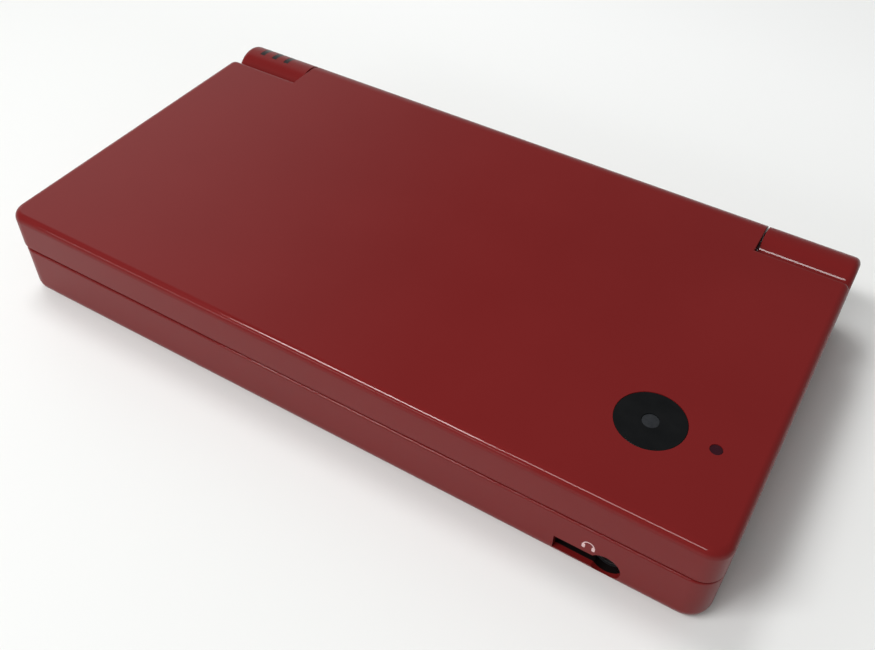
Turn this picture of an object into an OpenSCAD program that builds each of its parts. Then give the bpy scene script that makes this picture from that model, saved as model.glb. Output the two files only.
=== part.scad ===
// Clamshell handheld game console, closed, lying on its underside.
// X runs to the right, Y runs back to the hinge and Z runs up.
// The origin is at the middle of the underside.

/* [Outline] */
// Width across the closed console
body_w = 137; // [134:0.5:146]
// Depth from the front face to the back of the hinge barrel
body_d = 74.9; // [74:0.1:82]
// Corner radius of the base, seen from above
corner_r = 4; // [3.4:0.1:5]
// Corner radius at the front of the lid
lid_corner_r = 3.5; // [2.8:0.1:4.5]
// Corner radius at the back of the lid, beside the knuckles
lid_rear_r = 1.6; // [1.55:0.05:2.2]
// Rounding along the bottom edge of the base
bottom_edge_r = 3; // [2:0.1:3.2]
// Rounding along the top edge of the lid
top_edge_r = 1.5; // [1:0.05:1.5]
// Open seam between the base rim and the lid
seam_gap = 0.5; // [0.4:0.05:0.8]

/* [Walls] */
// Side walls of the base
wall_t = 1.4; // [1.2:0.05:1.6]
// Floor of the base
floor_t = 1.2; // [1.1:0.05:1.6]
// Side walls of the lid
lid_wall_t = 1.2; // [1:0.05:1.4]
// Outer panel of the lid
lid_top_t = 1.2; // [1.1:0.05:1.6]
// Plate of the control deck
deck_t = 1; // [0.9:0.05:1.4]
// How far the control deck lies below the base rim
deck_drop = 1.1; // [1:0.05:1.6]
// Plate of the inner bezel of the lid
bezel_t = 1.2; // [1.1:0.05:1.6]
// Ribs and pocket walls inside the base
rib_t = 1; // [0.8:0.05:1.2]
// Wall of the trough under the hinge barrel
trough_t = 1.2; // [0.9:0.05:1.3]
// Fit gap between parts that are laid in a frame
seat_gap = 0.1; // [0.05:0.01:0.15]

/* [Hinge] */
// Radius of the hinge barrel
barrel_r = 5.1; // [4.9:0.05:5.4]
// Width of each base knuckle
knuckle_w = 17; // [16:0.25:19]
// Side gap between a knuckle and the barrel of the lid
knuckle_gap = 0.3; // [0.2:0.05:0.8]
// Running gap between the barrel and its trough
trough_gap = 0.3; // [0.25:0.05:0.5]
// Gap between a knuckle and the notch of the lid
notch_gap = 0.25; // [0.2:0.05:0.4]
// Rounding on the outer end of each knuckle
knuckle_end_r = 1.3; // [0.8:0.1:1.8]
// Bore of each knuckle
knuckle_bore_r = 3.2; // [3:0.05:3.4]
// Hinge shaft where the lid turns on it
shaft_r = 2; // [1.6:0.05:2.3]
// Running clearance round the hinge shaft
shaft_clear = 0.05; // [0.03:0.01:0.09]
// How far each shaft reaches into the lid barrel
shaft_reach = 7; // [5:0.25:9]
// Bore of the lid barrel
barrel_bore_r = 3.9; // [3.6:0.05:4.1]
// Hole through the left bush for the screen ribbon
ribbon_hole_r = 1.3; // [1:0.05:1.35]
// Angle between the closed and the fully open lid
hinge_open = 155; // [145:1:160]

/* [Screens] */
// Visible width of both screens
screen_w = 66; // [62:0.5:67]
// Visible depth of both screens
screen_d = 50; // [47:0.5:51]
// Hidden border of the panels behind their windows
screen_border = 2; // [1.5:0.1:2.3]
// Touch panel of the lower screen
touch_t = 0.8; // [0.6:0.05:1.1]
// Lower display behind the touch panel
lower_display_t = 1.5; // [1.3:0.05:2]
// Glass of the upper screen
upper_glass_t = 0.8; // [0.6:0.05:1]
// Upper display behind its glass
upper_display_t = 2; // [1.6:0.05:2.4]
// Free space between the upper display and the outer panel
lid_air = 2.1; // [1.9:0.05:2.8]
// Middle of the touch screen behind the front face
touch_from_front = 32.95; // [31.5:0.05:33.2]
// Middle of the upper screen behind the front face
upper_from_front = 30.4; // [29.8:0.05:30.9]

/* [Controls] */
// Span of the direction pad
dpad_span = 20; // [17:0.5:21]
// Width of each arm of the direction pad
dpad_arm = 6.6; // [6:0.1:7.4]
// Gap between the direction pad and the deck
dpad_clear = 0.35; // [0.3:0.01:0.5]
// Tilt of the direction pad about each of its two axes
dpad_tilt = 2.2; // [1.5:0.1:2.4]
// Ball that the direction pad rocks on
dpad_ball_r = 0.8; // [0.7:0.02:0.85]
// Middle of the direction pad and of the face buttons inside the side faces
control_inset = 17.5; // [17:0.25:18.25]
// Middle of both control groups behind the front face
control_from_front = 40.45; // [38:0.25:42]
// Radius of each face button
button_r = 3.7; // [3.2:0.05:3.9]
// Distance of each face button from the middle of its group
button_pitch = 7.5; // [7.1:0.1:8]
// Radius of the start, select and power buttons
small_button_r = 2; // [1.6:0.05:2.4]
// Start, select and power buttons inside the side faces
small_button_inset = 25; // [24.5:0.25:26]
// Select and power buttons behind the front face
select_from_front = 11.95; // [11:0.25:13]
// Start button behind the select button
start_pitch = 7.5; // [6.5:0.25:8.5]
// How far the controls stand above the deck
button_rise = 0.8; // [0.6:0.05:0.9]
// Travel of each push button
button_travel = 0.7; // [0.4:0.05:0.75]
// Running gap round each push button
button_clear = 0.15; // [0.1:0.01:0.2]
// Length of the volume rocker
rocker_len = 16; // [12:0.5:20]
// Height of the volume rocker
rocker_h = 3.2; // [2.6:0.1:3.6]
// Middle of the volume rocker behind the front face
rocker_from_front = 40; // [37:0.5:44]
// Length of each shoulder button across the back
shoulder_w = 16; // [14:0.25:16.5]
// Height of each shoulder button
shoulder_h = 5; // [4:0.1:5.1]
// Turn of a pressed shoulder button
shoulder_turn = 4; // [2:0.5:4.5]

/* [Ports] */
// Bore of the headphone jack
jack_r = 1.8; // [1.75:0.01:1.9]
// Depth of the headphone jack
jack_len = 12; // [10:0.5:12.5]
// Middle of the headphone jack inside the right side
jack_inset = 15.8; // [15:0.1:17]
// Middle of the headphone jack above the underside
jack_z = 3.9; // [3.85:0.05:4.2]
// Round end of the headphone recess
jack_recess_r = 2.55; // [2.5:0.05:2.65]
// Headphone recess from its square end to the jack
recess_run = 8.5; // [6:0.25:11]
// Height of the square end of the headphone recess
recess_h = 3.05; // [2.4:0.05:4]
// Depth of the headphone recess
recess_depth = 2.4; // [1.8:0.1:2.6]
// Width of the game card cavity
card_w = 34; // [33.5:0.1:34.5]
// Height of the game card cavity
card_h = 4.2; // [4.15:0.05:4.6]
// Depth of the game card cavity behind the rear face
card_len = 32.4; // [31:0.1:33]
// Middle of the game card cavity right of the middle
card_x = 13; // [12.5:0.25:13.25]
// Sheet metal of the card sockets
sheet_t = 0.3; // [0.2:0.02:0.35]
// Width of the memory card slot
memory_w = 24.6; // [24.3:0.1:25]
// Height of the memory card slot
memory_h = 2.5; // [2.3:0.05:2.8]
// Depth of the memory card slot behind its door
memory_len = 32.8; // [32.2:0.1:33.4]
// Middle of the memory card slot behind the front face
memory_from_front = 52; // [51:0.25:52.5]
// Radius of the pivots of the memory card door
door_pin_r = 0.4; // [0.35:0.01:0.45]
// Width of the charging socket
charge_w = 9; // [8:0.25:10]
// Height of the charging socket
charge_h = 3.4; // [3:0.1:3.7]
// Middle of the charging socket left of the middle
charge_x = 22; // [20:0.5:24]
// Middle of the strap bar left of the middle
strap_x = 42; // [40:0.5:44]
// Radius of the strap bar
strap_r = 0.7; // [0.6:0.05:0.9]
// Radius of the stylus
stylus_r = 2.15; // [1.9:0.05:2.2]
// Length of the stylus
stylus_len = 92; // [80:1:94]
// Middle of the stylus behind the front face
stylus_from_front = 18.45; // [18.2:0.05:18.9]
// Running gap round the stylus
stylus_clear = 0.2; // [0.12:0.01:0.25]

/* [Cameras and sound] */
// Radius of the outer camera window
window_r = 5.6; // [5:0.1:6.4]
// Thickness of the outer camera window
window_t = 0.8; // [0.6:0.05:0.85]
// Middle of the camera window inside the right side
window_inset = 18.25; // [17.5:0.25:20]
// Middle of the camera window behind the front face
window_from_front = 17.2; // [16:0.1:19]
// Radius of the outer camera lens
lens_r = 1.35; // [1.1:0.05:1.7]
// Radius of the camera light
light_r = 0.95; // [0.7:0.05:1.1]
// Camera light to the right of the camera window's middle
light_pitch = 10.25; // [9.75:0.05:10.5]
// Radius of the inner camera lens
inner_lens_r = 1.2; // [1:0.05:1.4]
// Radius of each speaker
speaker_r = 7; // [6:0.25:7.4]
// Depth of each speaker
speaker_t = 2.8; // [2:0.1:3.4]
// Radius of each speaker hole
grille_r = 0.6; // [0.4:0.05:0.8]
// Holes in the outer ring of each speaker grille
grille_count = 8; // [6:1:10]

/* [Inside] */
// Printed circuit board
board_t = 0.8; // [0.7:0.05:1]
// Length of the battery
battery_w = 44; // [42:0.5:44.2]
// Width of the battery
battery_d = 34; // [32:0.5:34.3]
// Thickness of the battery
battery_t = 4; // [3.6:0.05:4.15]
// Middle of the battery left of the middle
battery_x = 32; // [31.5:0.25:32.25]
// Shank radius of the case and lid screws
screw_r = 0.75; // [0.7:0.01:0.8]
// Head radius of the case and lid screws
screw_head_r = 1.6; // [1.4:0.05:1.7]
// Radius of the columns that the screws bite in
column_r = 2.4; // [2.1:0.05:2.5]

/* [Hidden] */
$fn = 64;
half_w = body_w / 2;
front_y = -body_d / 2;
rear_y = body_d / 2;
// Overshoot of the cutters, and the least step between two faces
lap = 0.4;
thin = 0.02;

// The base is a stack: floor, card cavity, board, display, touch panel and deck
stack_gap = 0.05;
board_lift = 0.15;
board_z = floor_t + card_h + sheet_t + board_lift;
board_top = board_z + board_t;
display_z = board_top + stack_gap;
touch_z = display_z + lower_display_t;
deck_under = touch_z + touch_t;
deck_z = deck_under + deck_t;
base_h = deck_z + deck_drop;

// The lid is a stack: bezel, glass, display, free space and outer panel
lid_z = base_h + seam_gap;
glass_z = lid_z + bezel_t;
upper_display_z = glass_z + upper_glass_t;
panel_under = upper_display_z + upper_display_t + lid_air;
body_h = panel_under + lid_top_t;
lid_h = body_h - lid_z;

axis_y = rear_y - barrel_r;
axis_z = body_h - barrel_r;
knuckle_x = half_w - knuckle_w;
barrel_x = knuckle_x - knuckle_gap;
lid_rear_y = axis_y - barrel_r - notch_gap;
trough_r = barrel_r + trough_gap;
trough_back_r = trough_r + trough_t;
knuckle_cap = 1.4;
bush_len = 4.8;
shaft_root = 1;
end_float = 0.2;

// Board, with its edge gaps and the chips under it
board_gap = 0.3;
board_rear_y = axis_y - trough_back_r - board_gap;
board_front_y = front_y + wall_t + 1;
board_half_w = half_w - wall_t - 1.6;
board_corner_r = 2;
chip_w = 14;
chip_d = 11;
chip_h = 1.4;
power_chip_w = 8;
power_chip_h = 1.1;
chip_gap = 3;

touch_y = front_y + touch_from_front;
upper_y = front_y + upper_from_front;
panel_w = screen_w + 2 * screen_border;
panel_d = screen_d + 2 * screen_border;
screen_corner_r = 0.8;
mic_r = 1.6;
mic_h = 1.3;
mic_hole_r = 0.5;
mic_y = touch_y + panel_d / 2 + mic_r + 0.6;

control_x = half_w - control_inset;
control_y = front_y + control_from_front;
small_x = half_w - small_button_inset;
select_y = front_y + select_from_front;
start_y = select_y + start_pitch;
control_top = deck_z + button_rise;
flange_t = 0.8;
flange_lip = 0.7;
flange_top = deck_under - button_clear;
pad_t = 0.55;
pad_top = board_top + pad_t;
ball_z = board_top + dpad_ball_r + stack_gap;
dpad_flange_r = dpad_span / 2 - 1;
dpad_drop = dpad_flange_r * sin(sqrt(2) * dpad_tilt);
dpad_free = 0.13;
dpad_flange_top = deck_under - dpad_drop - dpad_free;
dpad_flange_t = 0.5;
dpad_pad_gap = dpad_drop + dpad_free;
dpad_dish_r = 8;
dpad_dish = 0.2;
ball_gap = 0.1;
dome_inset = 0.8;
small_dome_inset = 0.5;
pad_reach = 1.2;
pad_corner_r = 3;
dome_top = flange_top - flange_t - button_travel - button_clear;
button_ring = [[1, 0], [0, -1], [0, 1], [-1, 0]];
small_spots = [[small_x, start_y], [small_x, select_y], [-small_x, select_y]];
dpad_pad_top = dpad_flange_top - dpad_flange_t - dpad_pad_gap;

shoulder_z = bottom_edge_r + 0.1;
shoulder_top = shoulder_z + shoulder_h;
knuckle_z = shoulder_top + 0.3;
shoulder_t = 1.5;
shoulder_gap = 0.25;
shoulder_x = half_w - shoulder_w;
shoulder_pin_r = 0.7;
shoulder_pin_clear = 0.06;
shoulder_boss_r = shoulder_pin_r + 0.9;
shoulder_rib = 1.6;
shoulder_pivot_x = shoulder_x + shoulder_boss_r + 0.6;
shoulder_pivot_y = rear_y - 2 * shoulder_t;
shoulder_side_y = rear_y - corner_r + 0.5;
shoulder_switch_w = 4;
shoulder_switch_d = 3.2;
shoulder_switch_x = shoulder_w / 2;
shoulder_switch_y = rear_y - shoulder_t - 2.2;
shoulder_swing = (half_w - shoulder_pivot_x) * sin(shoulder_turn) + shoulder_gap;

rocker_y = front_y + rocker_from_front;
rocker_z = board_z - 0.75;
rocker_t = 1.7;
rocker_gap = 0.25;
rocker_x = -half_w + 0.15;
volume_gap = 0.75;
volume_t = 2.25;
volume_w = 10;
volume_h = 3.2;

jack_x = half_w - jack_inset;
jack_face_y = front_y + recess_depth;
jack_collar_r = jack_recess_r - 0.15;
jack_block_t = 1;
jack_proud = 0.2;
jack_body_w = 7.2;
jack_body_h = 2.7;
jack_front_y = jack_face_y - jack_proud;
jack_end_y = jack_front_y + jack_len + 0.8;
jack_cut = 1;
recess_wall = 1.2;
recess_z = jack_z - 1.6;
recess_x = jack_x - recess_run;

card_z = floor_t + 0.1;
card_y = rear_y - card_len;
card_x0 = card_x - card_w / 2;
card_x1 = card_x + card_w / 2;
card_stop = 3;
socket_rear_y = rear_y - bottom_edge_r - thin;
mouth_y = rear_y - bottom_edge_r - lap;
memory_y = front_y + memory_from_front;
memory_z = floor_t + 1.5;
memory_mouth_x = half_w - wall_t - 0.5;
memory_x0 = memory_mouth_x - memory_len;
memory_stop = 1;
memory_leg = 2;
door_t = 1.2;
door_side = 0.4;
door_y0 = memory_y - memory_w / 2 + door_side;
door_y1 = memory_y + memory_w / 2 - door_side;
door_axis_x = half_w - 0.2 - door_t / 2;
door_axis_z = memory_z + 0.1;
door_top = memory_z + memory_h + 1;
door_gap = 0.15;
door_pin_len = 0.9;
ejector_gap = 0.15;
ejector_x = card_x1 + sheet_t + ejector_gap;
ejector_t = 1;
ejector_len = 8;
ejector_top = floor_t + 1.4;
ejector_reach = 1.5;
charge_z = floor_t + 0.6;
charge_len = 8;
charge_wall = 1;
charge_back = 1.5;
charge_roof = 0.6;
tongue_t = 0.6;
tongue_side = 1.4;
tongue_front = 2.4;
strap_z = shoulder_z + 0.2;
strap_h = axis_z - trough_back_r - 0.15 - rib_t - strap_z;
strap_w = 6;
strap_deep = 4.2;
stylus_y = front_y + stylus_from_front;
stylus_z = floor_t + stylus_r + 0.12;
stylus_sunk = 0.1;
stylus_edge = 0.4;
stylus_cone = 9;
stylus_tip_r = 0.9;
stylus_nail = 1.2;
channel_r = stylus_r + stylus_clear;
channel_end = 2;
channel_x = half_w - stylus_len - channel_end;
channel_top = board_z - 0.6;

window_x = half_w - window_inset;
window_y = front_y + window_from_front;
window_clear = 0.05;
window_drop = 0.05;
window_ledge = 2;
window_under = body_h - window_t - window_drop;
lens_drop = 0.3;
camera_size = 8.4;
camera_h = 3.15;
camera_neck = 0.2;
speaker_x = control_x;
speaker_y = control_y;
speaker_rim = 1;
speaker_dish = 0.6;
inner_camera_w = 6.8;
inner_camera_d = 4.1;
inner_camera_h = 3.2;
inner_camera_y = lid_rear_y - lid_wall_t - inner_camera_d / 2 - 0.35;
strip_inset = 4.4;
strip_pitch = 3.2;
strip_w = 1.2;
strip_fit = 0.05;
strip_front = 0.8;
magnet_w = 4.2;
magnet_d = 5;
magnet_h = 2;
magnet_back = 21;
ribbon_w = 10;
ribbon_inset = 11;
ribbon_x = -barrel_x + ribbon_inset;
ribbon_slot = 2.4;
ribbon_side = 1;
ribbon_t = 0.25;

battery_z = floor_t + 0.1;
battery_corner_r = 1.2;
battery_y = 3.7;
battery_y0 = battery_y - battery_d / 2;
battery_y1 = battery_y0 + battery_d;
contact_d = 2.6;
contact_w = 10;
contact_slot_w = 2.8;
contact_slot_d = 1;
contact_rim = 0.8;
bay_gap = 0.2;
bay_x0 = -battery_x - battery_w / 2 - bay_gap;
bay_x1 = -battery_x + battery_w / 2 + bay_gap;
bay_y0 = battery_y0 - bay_gap;
bay_y1 = battery_y1 + contact_d + 2 * bay_gap;
bay_h = battery_t + 0.3;
cover_post_r = 1.9;
cover_post_out = rib_t + 1.2;
cover_screw_x0 = bay_x0 - cover_post_out;
cover_screw_x1 = bay_x1 + cover_post_out;
cover_screw_end = 1.4;
cover_lip = 2.1;
cover_corner_r = 1;
cover_y = (bay_y0 + bay_y1) / 2;
radio_x0 = -half_w + 10.5;
radio_y0 = front_y + 3.4;
radio_w = 20.5;
radio_d = 10;
radio_t = 0.9;
shield_rim = 1.3;
shield_w = 13;
shield_h = 1.5;

screw_clear = 0.05;
screw_bore_r = screw_r + screw_clear;
screw_tip_gap = 1.1;
head_t = 0.55;
cross_reach = 0.6;
cross_w = 0.3;
case_seat_z = head_t + screw_clear;
case_screw_len = 5.5;
case_bore_z = case_seat_z + case_screw_len + screw_tip_gap;
column_inset = 6.5;
column_gap = 0.3;
case_screw_spots = [
    [-half_w + column_inset, front_y + column_inset],
    [half_w - column_inset, front_y + column_inset],
    [-half_w + column_inset, axis_y - barrel_r - column_r - 0.4],
    [knuckle_x - column_inset, memory_y + memory_w / 2 + sheet_t + column_r + column_gap]
];
lid_seat_z = glass_z - 0.4;
lid_tip_gap = 0.3;
lid_screw_inset = 5.2;
lid_column_r = column_r - 0.2;
lid_head_hole_r = screw_head_r + 0.2;
lid_screw_spots = [
    for (side = [-1, 1], y = [front_y + lid_screw_inset, lid_rear_y - 4.5])
        [side * (half_w - lid_screw_inset), y]
];
bumper_gap = 0.15;
inner_ring_r = 2.2;
outer_ring_r = 4.6;
grille_spots = concat(
    [[0, 0]],
    [for (i = [0 : 3]) inner_ring_r * [cos(90 * i + 45), sin(90 * i + 45)]],
    [for (i = [0 : grille_count - 1])
        outer_ring_r * [cos(360 * i / grille_count), sin(360 * i / grille_count)]]
);

red = [0.48, 0.08, 0.1];
inner_red = [0.42, 0.08, 0.09];
black = [0.06, 0.06, 0.07];
grey = [0.35, 0.36, 0.38];
steel = [0.72, 0.73, 0.75];
copper = [0.75, 0.5, 0.28];
board_green = [0.1, 0.35, 0.2];
glass = [0.12, 0.13, 0.15];

// A box between two corners
module box(x0, x1, y0, y1, z0, z1) {
    translate([x0, y0, z0]) cube([x1 - x0, y1 - y0, z1 - z0]);
}

// A round bar along X
module bar_x(r, x0, x1, y, z) {
    translate([x0, y, z]) rotate([0, 90, 0]) cylinder(r = r, h = x1 - x0);
}

// A round bar along Y
module bar_y(r, x, y0, y1, z) {
    translate([x, y1, z]) rotate([90, 0, 0]) cylinder(r = r, h = y1 - y0);
}

// A round post along Z
module post(r, x, y, z0, z1) {
    translate([x, y, z0]) cylinder(r = r, h = z1 - z0);
}

// A slab with four upright rounded corners
module slab(x0, x1, y0, y1, z0, z1, r) {
    box(x0 + r, x1 - r, y0, y1, z0, z1);
    box(x0, x1, y0 + r, y1 - r, z0, z1);
    for (x = [x0 + r, x1 - r], y = [y0 + r, y1 - r]) post(r, x, y, z0, z1);
}

// Section of a shell from its corner axis out to its side, with one rounded edge
module edge_section(r, h, e) {
    translate([0, e]) square([r, h - e]);
    square([r - e, e]);
    translate([r - e, e]) intersection() {
        circle(e);
        translate([0, -e]) square([e, e]);
    }
}

// A straight run of that section: outwards is +X and it runs along +Y
module edge_run(len, r, h, e) {
    translate([0, len, 0]) rotate([90, 0, 0]) linear_extrude(len) edge_section(r, h, e);
}

// A tray-shaped solid: flat top, rounded bottom edge, rounded corners of two sizes
module tray(w, y0, y1, h, rf, rr, e) {
    x = w / 2;
    box(-x + rf, x - rf, y0 + rf, y1 - rr, 0, h);
    for (side = [0, 1]) mirror([side, 0, 0]) {
        translate([x - rf, y0 + rf, 0]) edge_run(y1 - rr - y0 - rf, rf, h, e);
        translate([x - rf, y0 + rf, 0]) rotate([0, 0, -90]) rotate_extrude(angle = 90)
            edge_section(rf, h, e);
        translate([x - rr, y1 - rr, 0]) rotate_extrude(angle = 90) edge_section(rr, h, e);
    }
    translate([-x + rf, y0 + rf, 0]) rotate([0, 0, -90]) edge_run(w - 2 * rf, rf, h, e);
    translate([x - rr, y1 - rr, 0]) rotate([0, 0, 90]) edge_run(w - 2 * rr, rr, h, e);
}

module case_block() {
    tray(body_w, front_y, rear_y, base_h, corner_r, corner_r, bottom_edge_r);
}

module case_hollow() {
    translate([0, 0, floor_t])
        tray(body_w - 2 * wall_t, front_y + wall_t, rear_y - wall_t, base_h,
             corner_r - wall_t, corner_r - wall_t, bottom_edge_r - wall_t);
}

// What the lid barrel and the opening lid need free at the back of the base
module trough_space() {
    bar_x(trough_r, -knuckle_x, knuckle_x, axis_y, axis_z);
    translate([0, axis_y, axis_z]) rotate([180 - hinge_open, 0, 0])
        box(-knuckle_x, knuckle_x, 0, 4 * barrel_r, -trough_r, 2 * barrel_r);
}

// The right knuckle of the base; the left one is its mirror image
module knuckle() {
    intersection() {
        union() {
            translate([half_w, axis_y, axis_z]) rotate([0, -90, 0]) rotate_extrude()
                edge_section(barrel_r, knuckle_w, knuckle_end_r);
            box(knuckle_x, half_w, axis_y - barrel_r, rear_y, knuckle_z, axis_z);
        }
        slab(-half_w, half_w, front_y, rear_y, 0, body_h + lap, corner_r);
    }
}

module knuckle_bore() {
    bar_x(knuckle_bore_r, knuckle_x - lap, half_w - knuckle_cap, axis_y, axis_z);
}

// Cross-head screw pointing up, with the underside of its head at z
module screw(x, y, z, head_r, reach) {
    difference() {
        union() {
            post(head_r, x, y, z - head_t, z);
            post(screw_r, x, y, z - head_t / 2, z + reach);
        }
        for (turn = [0, 90]) translate([x, y, 0]) rotate([0, 0, turn])
            box(-head_r * cross_reach, head_r * cross_reach, -cross_w / 2, cross_w / 2,
                z - head_t - lap, z - head_t / 2);
    }
}

// The headphone recess, from its mouth to the depth given
module headphone_recess(y0, y1) {
    bar_y(jack_recess_r, jack_x, y0, y1, jack_z);
    box(recess_x, jack_x, y0, y1, recess_z, recess_z + recess_h);
}

// Window strip number i on the crest of the left knuckle
module indicator_strip(i, r_in, r_out, w) {
    x = -half_w + strip_inset + strip_pitch * i;
    intersection() {
        difference() {
            bar_x(r_out, x - w / 2, x + w / 2, axis_y, axis_z);
            bar_x(r_in, x - w, x + w, axis_y, axis_z);
        }
        box(x - w, x + w, axis_y - strip_front, rear_y + lap, axis_z, body_h + lap);
    }
}

module shoulder_window(grow) {
    box(shoulder_x - grow, half_w + lap, rear_y - corner_r - shoulder_swing, rear_y + lap,
        shoulder_z - grow, shoulder_top + grow);
}

module lower_case() color(red) {
    difference() {
        union() {
            difference() {
                case_block();
                case_hollow();
                trough_space();
                for (side = [0, 1]) mirror([side, 0, 0]) shoulder_window(shoulder_gap);
            }
            for (side = [0, 1]) mirror([side, 0, 0]) knuckle();
            // Wall block behind the headphone recess and the stylus channel
            intersection() {
                case_block();
                union() {
                    box(recess_x - recess_wall, jack_x + jack_recess_r + recess_wall,
                        front_y + wall_t / 2, jack_face_y + jack_block_t,
                        floor_t / 2, jack_z + jack_recess_r + rib_t);
                    for (y = [stylus_y - channel_r - rib_t, stylus_y + channel_r])
                        box(channel_x, half_w - wall_t / 2, y, y + rib_t, floor_t / 2, channel_top);
                }
            }
            box(channel_x - rib_t, channel_x, stylus_y - channel_r - rib_t,
                stylus_y + channel_r + rib_t, floor_t / 2, channel_top);
            // Battery bay
            difference() {
                box(bay_x0 - rib_t, bay_x1 + rib_t, bay_y0 - rib_t, bay_y1 + rib_t,
                    floor_t / 2, floor_t + bay_h);
                box(bay_x0, bay_x1, bay_y0, bay_y1, 0, board_z);
            }
            for (x = [cover_screw_x0, cover_screw_x1])
                post(cover_post_r, x, cover_y, floor_t / 2, floor_t + bay_h);
            // Strap pocket
            box(-strap_x - strap_w / 2 - rib_t, -strap_x + strap_w / 2 + rib_t,
                rear_y - strap_deep - rib_t, rear_y - wall_t / 2,
                strap_z - rib_t, strap_z + strap_h + rib_t);
            // Pivot posts of the shoulder buttons
            for (side = [-1, 1]) post(shoulder_pin_r, side * shoulder_pivot_x, shoulder_pivot_y,
                floor_t / 2, knuckle_z + lap);
        }
        for (side = [0, 1]) mirror([side, 0, 0]) knuckle_bore();
        for (i = [0 : 2]) indicator_strip(i, knuckle_bore_r - lap, barrel_r + lap, strip_w);
        headphone_recess(front_y - lap, jack_face_y);
        bar_y(jack_collar_r + seat_gap, jack_x, front_y, jack_face_y + jack_block_t + lap, jack_z);
        // Mouth of the game card cavity
        box(card_x0, card_x1, mouth_y, rear_y + lap, card_z, card_z + card_h);
        // Charging socket
        box(-charge_x - charge_w / 2, -charge_x + charge_w / 2, mouth_y, rear_y + lap,
            charge_z, charge_z + charge_h);
        // Strap pocket
        box(-strap_x - strap_w / 2, -strap_x + strap_w / 2, rear_y - strap_deep, rear_y + lap,
            strap_z, strap_z + strap_h);
        // Mouth of the stylus channel
        bar_x(channel_r, half_w - 2 * wall_t, half_w + lap, stylus_y, stylus_z);
        // Memory card slot, its door and the door's pivots
        box(half_w - 2 * wall_t, half_w + lap, door_y0 - door_gap, door_y1 + door_gap,
            door_axis_z - door_t / 2 - door_gap, door_top + door_gap);
        bar_y(door_pin_r + screw_clear, door_axis_x, door_y0 - door_pin_len - door_gap,
              door_y1 + door_pin_len + door_gap, door_axis_z);
        // Volume rocker
        box(-half_w - lap, -half_w + 2 * wall_t, rocker_y - rocker_len / 2 - rocker_gap,
            rocker_y + rocker_len / 2 + rocker_gap, rocker_z - rocker_h / 2 - rocker_gap,
            rocker_z + rocker_h / 2 + rocker_gap);
        // Battery cover and its screws
        box(cover_screw_x0 - cover_lip, cover_screw_x1 + cover_lip, bay_y0 - cover_lip,
            bay_y1 + cover_lip, -lap, floor_t / 2);
        box(bay_x0, bay_x1, bay_y0, bay_y1, -lap, 2 * floor_t);
        for (x = [cover_screw_x0, cover_screw_x1])
            post(screw_bore_r, x, cover_y, -lap, floor_t + bay_h - cover_screw_end + lap);
        for (spot = case_screw_spots) {
            post(screw_head_r + seat_gap, spot[0], spot[1], -lap, case_seat_z);
            post(screw_bore_r, spot[0], spot[1], -lap, 2 * floor_t);
        }
    }
}

module control_deck() color(inner_red) {
    inset = wall_t + seat_gap;
    difference() {
        union() {
            intersection() {
                slab(-half_w + inset, half_w - inset, front_y + inset, rear_y - inset,
                     deck_under, deck_z, corner_r - inset);
                union() {
                    box(-half_w, half_w, front_y, axis_y - barrel_r - seat_gap, 0, body_h);
                    box(-knuckle_x + seat_gap, knuckle_x - seat_gap, front_y, axis_y, 0, body_h);
                }
            }
            intersection() {
                bar_x(trough_back_r, -knuckle_x + seat_gap, knuckle_x - seat_gap, axis_y, axis_z);
                box(-half_w, half_w, axis_y - trough_back_r, rear_y - inset, 0, deck_z);
            }
            for (spot = case_screw_spots) post(column_r, spot[0], spot[1], floor_t, deck_z - deck_t / 2);
        }
        trough_space();
        slab(-screen_w / 2, screen_w / 2, touch_y - screen_d / 2, touch_y + screen_d / 2,
             deck_under - lap, deck_z + lap, screen_corner_r);
        translate([-control_x, control_y, 0]) dpad_cross(dpad_clear, deck_under - lap, deck_z + lap);
        for (spot = button_ring)
            post(button_r + button_clear, control_x + spot[0] * button_pitch,
                 control_y + spot[1] * button_pitch, deck_under - lap, deck_z + lap);
        for (spot = small_spots)
            post(small_button_r + button_clear, spot[0], spot[1], deck_under - lap, deck_z + lap);
        post(mic_hole_r, 0, mic_y, deck_under - lap, deck_z + lap);
        for (spot = case_screw_spots) post(screw_bore_r, spot[0], spot[1], floor_t - lap, case_bore_z);
    }
}

module touch_panel() color(glass) {
    box(-panel_w / 2, panel_w / 2, touch_y - panel_d / 2, touch_y + panel_d / 2, touch_z, deck_under);
}

module lower_display() color(black) {
    box(-panel_w / 2, panel_w / 2, touch_y - panel_d / 2, touch_y + panel_d / 2, display_z, touch_z);
}

module main_board() color(board_green) {
    difference() {
        union() {
            slab(-board_half_w, board_half_w, board_front_y, board_rear_y,
                 board_z, board_top, board_corner_r);
            // Processor and power chips, under the board
            box(card_x0, card_x0 + chip_w, card_y - card_stop - chip_d, card_y - card_stop,
                board_z - chip_h, board_z + board_t / 2);
            box(card_x0 + chip_w + chip_gap, card_x0 + chip_w + chip_gap + power_chip_w,
                card_y - card_stop - chip_gap - power_chip_w, card_y - card_stop - chip_gap,
                board_z - power_chip_h, board_z + board_t / 2);
        }
        box(jack_x - jack_body_w / 2 - jack_cut, jack_x + jack_body_w / 2 + jack_cut, front_y,
            jack_end_y + jack_cut, board_z - lap, board_top + lap);
        box(recess_x - recess_wall - board_gap, jack_x, front_y,
            jack_face_y + jack_block_t + board_gap, board_z - lap, board_top + lap);
        for (spot = case_screw_spots)
            post(column_r + board_gap, spot[0], spot[1], board_z - lap, board_top + lap);
    }
}

module battery() color(grey) {
    slab(-battery_x - battery_w / 2, -battery_x + battery_w / 2, battery_y0, battery_y1,
         battery_z, battery_z + battery_t, battery_corner_r);
}

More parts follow.
